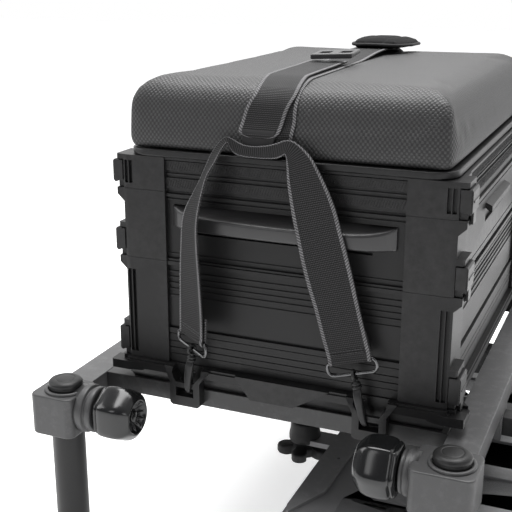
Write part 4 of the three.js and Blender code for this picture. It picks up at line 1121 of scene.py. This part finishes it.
def clamp_knob(end, flip):
    x0, sign = (-177.6, 1) if end == "rear" else (151.0, -1)
    prof = [(0, 0.0), (19, 0.0), (22.6, 0.3), (24.4, 1.3), (25.6, 2.9), (26.0, 4.2), (25.2, 4.7), (25.2, 5.4), (26.6, 6.0), (27.7, 8.0), (28.4, 12),
            (28.7, 17), (28.7, 22), (28.3, 27), (27.3, 31), (25.6, 34.4), (23.4, 37.2), (21.2, 39.2), (19.6, 40.3), (18.4, 40.9), (17.4, 40.9),
            (16.6, 40.5), (16.1, 39.6), (15.8, 38.2), (14.0, 36.4), (12.0, 35.2), (9.0, 34.2), (6.8, 33.8), (6.2, 34.6), (5.9, 36.4), (5.2, 37.2), (0, 37.4)]
    prof = [(r, h) if h < 0.1 and r == 0 else (r * 1.075, h * 1.045) for r, h in prof]
    def shape(t, r, h):
        if r > 18.6:
            k = min(1.0, (r - 18.6) / 6.0)
            k = k * k * (3 - 2 * k)
            r = r * (1 - k) + hexed(t, r, 34.0, 0.90) * k
        elif 7.4 < r < 17.2 and h < 41:
            rib = max(0.0, math.cos(12 * t)) ** 3
            h += 2.8 * rib * math.sin(math.pi * (r - 7.4) / 9.8) ** 0.7
        return r, h
    s = Shape()
    axis = "x" if sign > 0 else "-x"
    s.lathe(prof, (x0, -(LEG_Y - 3), KNOB_Z), axis, seg=144, radius=shape)
    # the screw that the knob turns on
    x = LEG_X[end]
    run = abs(x0 - x) - 18 + 0.4
    s.lathe([(0, 0), (5.4, 0), (6.0, 0.6), (6.0, run), (0, run)], (x + sign * 18.9, -(LEG_Y - 3), KNOB_Z), axis, seg=32)
    k = "%s_%s" % (end, "far" if flip else "near")
    ob = s.put("knob_" + k, "knob", "knob_plastic", body="clamp_knob_" + k, flip=flip, replaces=("clamp_knob_" + k,))
    w = ob.modifiers.new("shade", "WEIGHTED_NORMAL")
    return ob


def prism(s, outline, za, zb, edge=1.6):
    """An upright prism with rounded rims."""
    c = np.array(outline)
    mid = c.mean(0)
    rows = []
    for dz, inset in ((0, edge), (edge * 0.3, edge * 0.3), (edge, 0)):
        rows.append((za + dz, inset))
    for dz, inset in ((edge, 0), (edge * 0.3, edge * 0.3), (0, edge)):
        rows.append((zb - dz, inset))
    half = np.abs(c - mid).max(0)
    pts = []
    for z, inset in rows:
        k = 1 - inset / half
        for x, y in c:
            pts.append((mid[0] + (x - mid[0]) * k[0], mid[1] + (y - mid[1]) * k[1], z))
    m = len(outline)
    f = grid_faces(len(rows), m, close_m=True)
    f.append(tuple(range(m))[::-1])
    f.append(tuple((len(rows) - 1) * m + i for i in range(m)))
    s.add(pts, f)


def ring_of(s, profile, at, axis="z", seg=64):
    """A turned ring from a closed profile of (r, h)."""
    P, m = [], len(profile)
    for k in range(seg):
        t = 2 * math.pi * k / seg
        for r, h in profile:
            P.append((r * math.cos(t), r * math.sin(t), h))
    P = np.array(P)
    if axis == "x":
        P = P[:, [2, 0, 1]]
    elif axis == "-x":
        P = P[:, [2, 1, 0]] * np.array([-1, 1, 1])
    s.add(P + np.array(at), grid_faces(seg, m, close_m=True, close_n=True))


def leg_block(end, flip):
    x = LEG_X[end]
    if end == "rear":
        xa, xb, face, sign, r0, tip = -252.0, -200.0, -200.0, 1, 26.2, 19.6
    else:
        xa, xb, face, sign, r0, tip = 163.0, 225.5, 163.0, -1, 22.8, 10.8
    s = Shape()
    prism(s, rounded_outline(xa, xb, -LEG_Y - 27, -264, 9), 166, 212, 1.8)
    ring_of(s, [(18.7, 209), (23, 209), (23, 213.2), (22.5, 214.3), (21.4, 214.9), (19.9, 214.9), (19.1, 214.5), (18.7, 213.8)], (x, -LEG_Y, 0))
    axis = "x" if sign > 0 else "-x"
    # threaded boss: a wide flange, a groove and a second collar next to the knob
    if end == "rear":
        prof = [(0, -6), (r0 - 1.6, -6), (r0 - 1.6, 1.2), (r0 - 0.2, 2.0), (r0, 3.2), (r0, 8.4), (r0 - 0.7, 9.4), (r0 - 2.4, 9.9), (r0 - 3.2, 10.4),
                (r0 - 3.2, 12.0), (r0 - 2.0, 12.6), (r0 - 1.4, 13.6), (r0 - 1.4, 17.4), (r0 - 2.2, 18.8), (r0 - 4.0, 19.6), (8, 19.6), (7.4, 18.6), (0, 18.6)]
    else:
        prof = [(0, -6), (r0 - 1.2, -6), (r0 - 1.2, 0.8), (r0, 1.6), (r0, 5.0), (r0 - 0.8, 6.0), (r0 - 2.6, 6.4), (r0 - 2.6, 7.2), (r0 - 1.6, 7.8),
                (r0 - 1.6, 9.6), (r0 - 2.4, 10.5), (r0 - 4, 10.8), (8, 10.8), (7.4, 10), (0, 10)]
    s.lathe(prof, (face, -(LEG_Y - 3), KNOB_Z), axis, seg=96)
    # raised disc on the outer side of the clamp
    prism(s, rounded_outline(max(xa, x - 23), min(xb, x + 17.4), -273, -264.0, 2, 3), 176, 208.2, 0.8)
    k = "%s_%s" % (end, "far" if flip else "near")
    ob = s.put("clamp_block_" + k, "cast", "cast_metal", flip=flip, replaces=("leg_block_" + k,))
    w = ob.modifiers.new("shade", "WEIGHTED_NORMAL")
    return ob


def leg(end, flip):
    x = LEG_X[end]
    s = Shape()
    prof = [(0, 25 + 27), (15.4, 25 + 27), (15.4, 27.6), (15.8, 27), (17.3, 27), (18, 27.7), (18, 40), (17.75, 40.4), (17.75, 41.2), (18, 41.6), (18, 217.6),
            (18.2, 217.9), (18.5, 218.5), (18.5, 220.8), (17.9, 222.0), (16.4, 223.4), (14.2, 224.2), (11.4, 224.6), (10.6, 224.2), (9.8, 224.2), (9.2, 224.8), (0, 225)]
    s.lathe(prof, (x, -LEG_Y, 0), "z", seg=72)
    k = "%s_%s" % (end, "far" if flip else "near")
    ob = s.put("tube_leg_" + k, "leg", "leg_metal", body="leg_" + k, flip=flip, replaces=("leg_" + k,))
    w = ob.modifiers.new("shade", "WEIGHTED_NORMAL")
    return ob


def foot(end, flip):
    x = LEG_X[end]
    s = Shape()
    prof = [(0, 0), (24.6, 0), (26.6, 0.5), (27.6, 1.8), (28, 3.6), (28, 6.2), (27.4, 7.4), (25.6, 8.4), (20.4, 10.4), (16.4, 12.2), (12.6, 13.8), (9.8, 15.6),
            (8.6, 17.6), (8.3, 20.2), (9.4, 22.2), (12.0, 23.2), (13.6, 25.6), (14.6, 29), (14.8, 31), (14.6, 33), (13.6, 36.4), (11.6, 39.6), (8, 42.6), (4, 44.6), (0, 45)]
    def tread(t, r, h):
        if r > 24 and h < 8.6:
            r -= 0.75 * max(0.0, math.cos(36 * t)) ** 2
        return r, h
    s.lathe(prof, (x, -LEG_Y, 0), "z", seg=216, radius=tread)
    k = "%s_%s" % (end, "far" if flip else "near")
    ob = s.put("rubber_foot_" + k, "rubber", "foot_rubber", body="foot_" + k, flip=flip, replaces=("foot_" + k,))
    w = ob.modifiers.new("shade", "WEIGHTED_NORMAL")
    return ob


for end in ENDS:
    for flip in (False, True):
        clamp_knob(end, flip)
        leg_block(end, flip)
        leg(end, flip)
        foot(end, flip)


# ------------------------------------------------------- footplate star knobs
def star_knob(flip):
    def lobes(t):
        best = 18.0 ** 16
        for i in range(5):
            d = t - (i * 2 * math.pi / 5 + 3.52)
            s, c = math.sin(d), math.cos(d)
            if c > 0 and abs(24.4 * s) < 9.4:
                best += (24.4 * c + math.sqrt(9.4 ** 2 - (24.4 * s) ** 2)) ** 16
        return best ** (1 / 16)
    prof = [(0, 76.0), (0.80, 76.0), (0.9, 76.3), (0.965, 77.2), (1.0, 79.2), (1.0, 85.4), (0.975, 87.2), (0.92, 88.2), (0.8, 88.8)]
    def shape(t, r, h):
        if r <= 1.0:
            return r * (lobes(t) if r > 0.85 else lobes(t) * 0.5 + 10 if r > 0.7 else lobes(t)), h
        return r, h
    full = prof + [(15.6, 89.4), (14.0, 90.2), (12.8, 91.4), (12.0, 92.8), (11.6, 93.2), (6.0, 93.2), (6.0, 116.4), (5.4, 117), (0, 117)]
    s = Shape().lathe(full, (-19, -88, 0), "z", seg=160, radius=shape)
    # a moulded ring under the knob
    ring_of(s, [(9.0, 75.4), (11.0, 75.4), (11.4, 76.2), (8.6, 76.2)], (-19, -88, 0), seg=64)
    k = "far" if flip else "near"
    ob = s.put("star_knob_" + k, "rubber", "grip_rubber", body="footplate_knob_" + k, flip=flip, replaces=("footplate_knob_" + k,))
    w = ob.modifiers.new("shade", "WEIGHTED_NORMAL")
    # a moulded boot over the tongue's end, round the foot of the post
    b = Shape()
    ring_of(b, [(6.8, 93.9), (17.2, 93.9), (18.6, 94.6), (19.2, 96.4), (19.4, 101.0), (19.0, 104.6), (18.2, 107.2), (17.6, 112), (17.2, 117), (16.4, 119.2), (15.0, 120.2), (6.8, 120.2)],
            (-19, -88, 0), seg=80)
    b.put("post_boot_" + k, "rubber", "grip_rubber", body="footplate", flip=flip)
    return ob


if "footplate_knob_near" in NODES:
    for flip in (False, True):
        star_knob(flip)


# ---------------------------------------------------- ribs on the tray panels
def panel_ribs():
    """Fine slanted ribs moulded on the shallow tray's two bands, on all four faces."""
    s = Shape()
    def bar(face, a, z0, z1, base, w=0.55, h=0.38, lean=3.2):
        # a is the place along the face at the foot of the rib
        lo, hi = (a, z0), (a + lean, z1)
        quad = [(lo[0] - w, lo[1]), (lo[0] + w, lo[1]), (hi[0] + w, hi[1]), (hi[0] - w, hi[1])]
        top = [(q[0] * 0.5 + (lo[0] if i < 2 else hi[0]) * 0.5, q[1]) for i, q in enumerate(quad)]
        pts = []
        for d, ring in ((-0.3, quad), (h, top)):
            for u, z in ring:
                o = base + d
                pts.append({"near": (u, -o, z), "far": (u, o, z), "front": (o, u, z), "rear": (-o, u, z)}[face])
        f = [(3, 2, 1, 0), (4, 5, 6, 7), (0, 1, 5, 4), (1, 2, 6, 5), (2, 3, 7, 6), (3, 0, 4, 7)]
        if face in ("far", "rear"):
            f = [q[::-1] for q in f]
        if face in ("front", "rear"):
            f = f
        s.add(pts, f)
    for z0, z1 in ((448.9, 457.7), (430.3, 439.7)):
        for face, half, base in (("near", 128.0, 224.4), ("far", 128.0, 224.4), ("front", 174.5, 175.4), ("rear", 174.5, 175.4)):
            a = -half
            while a < half - 3.4:
                bar(face, a, z0, z1, base)
                a += 2.9
    return s.put("shallow_tray_ribs", "tray", "tray_plastic", smooth=False)


panel_ribs()


# ---------------------------------------------------------- CAD nodes' finish
for name, obj in NODES.items():
    key = SLOT_MAT[SLOT_OF[name]]
    use(obj, key)
    if not obj.hide_render:
        soften(obj, 0.0013 if name == "base_plate" else {"tray": 0.0006, "trim": 0.0007, "cast": 0.0008, "rail": 0.0009}.get(key, 0.0008))
for name in ("footplate_arm_near", "footplate_arm_far"):
    use(NODES[name], "trim")
use(NODES["rear_beam"], "beam")
use(NODES["front_beam"], "beam")
use(NODES["footplate_deck"], "deck")


# ------------------------------------------------------------------- stage
floor_m = Nodes("floor_paper")
floor_m.set(base=(0.86, 0.86, 0.86), rough=0.9, spec=0.1)
floor_m.bsdf.inputs["Emission Color"].default_value = (1, 1, 1, 1)
floor_m.bsdf.inputs["Emission Strength"].default_value = 0.50
me = bpy.data.meshes.new("floor")
me.from_pydata([(-9, -9, -0.0005), (9, -9, -0.0005), (9, 9, -0.0005), (-9, 9, -0.0005)], [], [(0, 1, 2, 3)])
floor = bpy.data.objects.new("floor", me)
SCENE.collection.objects.link(floor)
floor.data.materials.append(floor_m.mat)

world = bpy.data.worlds.new("studio")
SCENE.world = world
world.use_nodes = True
wt = world.node_tree
wt.nodes.clear()
w_out = wt.nodes.new("ShaderNodeOutputWorld")
w_tc = wt.nodes.new("ShaderNodeTexCoord")
w_sep = wt.nodes.new("ShaderNodeSeparateXYZ")
wt.links.new(w_tc.outputs["Generated"], w_sep.inputs[0])
w_ramp = wt.nodes.new("ShaderNodeValToRGB")
w_map = wt.nodes.new("ShaderNodeMath")
w_map.operation = "MULTIPLY_ADD"
w_map.inputs[1].default_value = 0.5
w_map.inputs[2].default_value = 0.5
wt.links.new(w_sep.outputs[1], w_map.inputs[0])
wt.links.new(w_map.outputs[0], w_ramp.inputs[0])
els = w_ramp.color_ramp.elements
els[0].position, els[0].color = 0.0, (0.16, 0.16, 0.17, 1)
els[1].position, els[1].color = 0.85, (1, 1, 1, 1)
e = els.new(0.4)
e.color = (0.26, 0.26, 0.27, 1)
lit_bg = wt.nodes.new("ShaderNodeBackground")
wt.links.new(w_ramp.outputs[0], lit_bg.inputs["Color"])
lit_bg.inputs["Strength"].default_value = 1.25
white_bg = wt.nodes.new("ShaderNodeBackground")
white_bg.inputs["Color"].default_value = (1, 1, 1, 1)
white_bg.inputs["Strength"].default_value = 1.0
path = wt.nodes.new("ShaderNodeLightPath")
mixs = wt.nodes.new("ShaderNodeMixShader")
wt.links.new(path.outputs["Is Camera Ray"], mixs.inputs[0])
wt.links.new(lit_bg.outputs[0], mixs.inputs[1])
wt.links.new(white_bg.outputs[0], mixs.inputs[2])
wt.links.new(mixs.outputs[0], w_out.inputs["Surface"])


def area(name, at, to, size, power, sy=None, col=(1, 1, 1)):
    d = bpy.data.lights.new(name, "AREA")
    d.shape = "RECTANGLE"
    d.size = size
    d.size_y = sy or size
    d.energy = power
    d.color = col
    o = bpy.data.objects.new(name, d)
    SCENE.collection.objects.link(o)
    o.location = at
    o.rotation_euler = (Vector(to) - Vector(at)).to_track_quat("-Z", "Y").to_euler()
    return o


area("top_soft", (-0.1, 0.25, 1.9), (0, 0, 0.3), 1.7, 60, 1.3)
area("left_soft", (-1.9, -0.7, 1.5), (-0.1, -0.1, 0.3), 0.9, 14, 1.2)
area("knob_strip", (-0.7, -1.9, 1.5), (0, -0.25, 0.2), 0.5, 5, 1.2)
area("right_soft", (1.7, -1.2, 1.0), (0.1, -0.1, 0.35), 0.8, 6, 1.2)
SCENE.view_settings.view_transform = "Standard"
SCENE.view_settings.look = "None"

# ------------------------------------------------------------------- finish
bpy.context.view_layer.update()
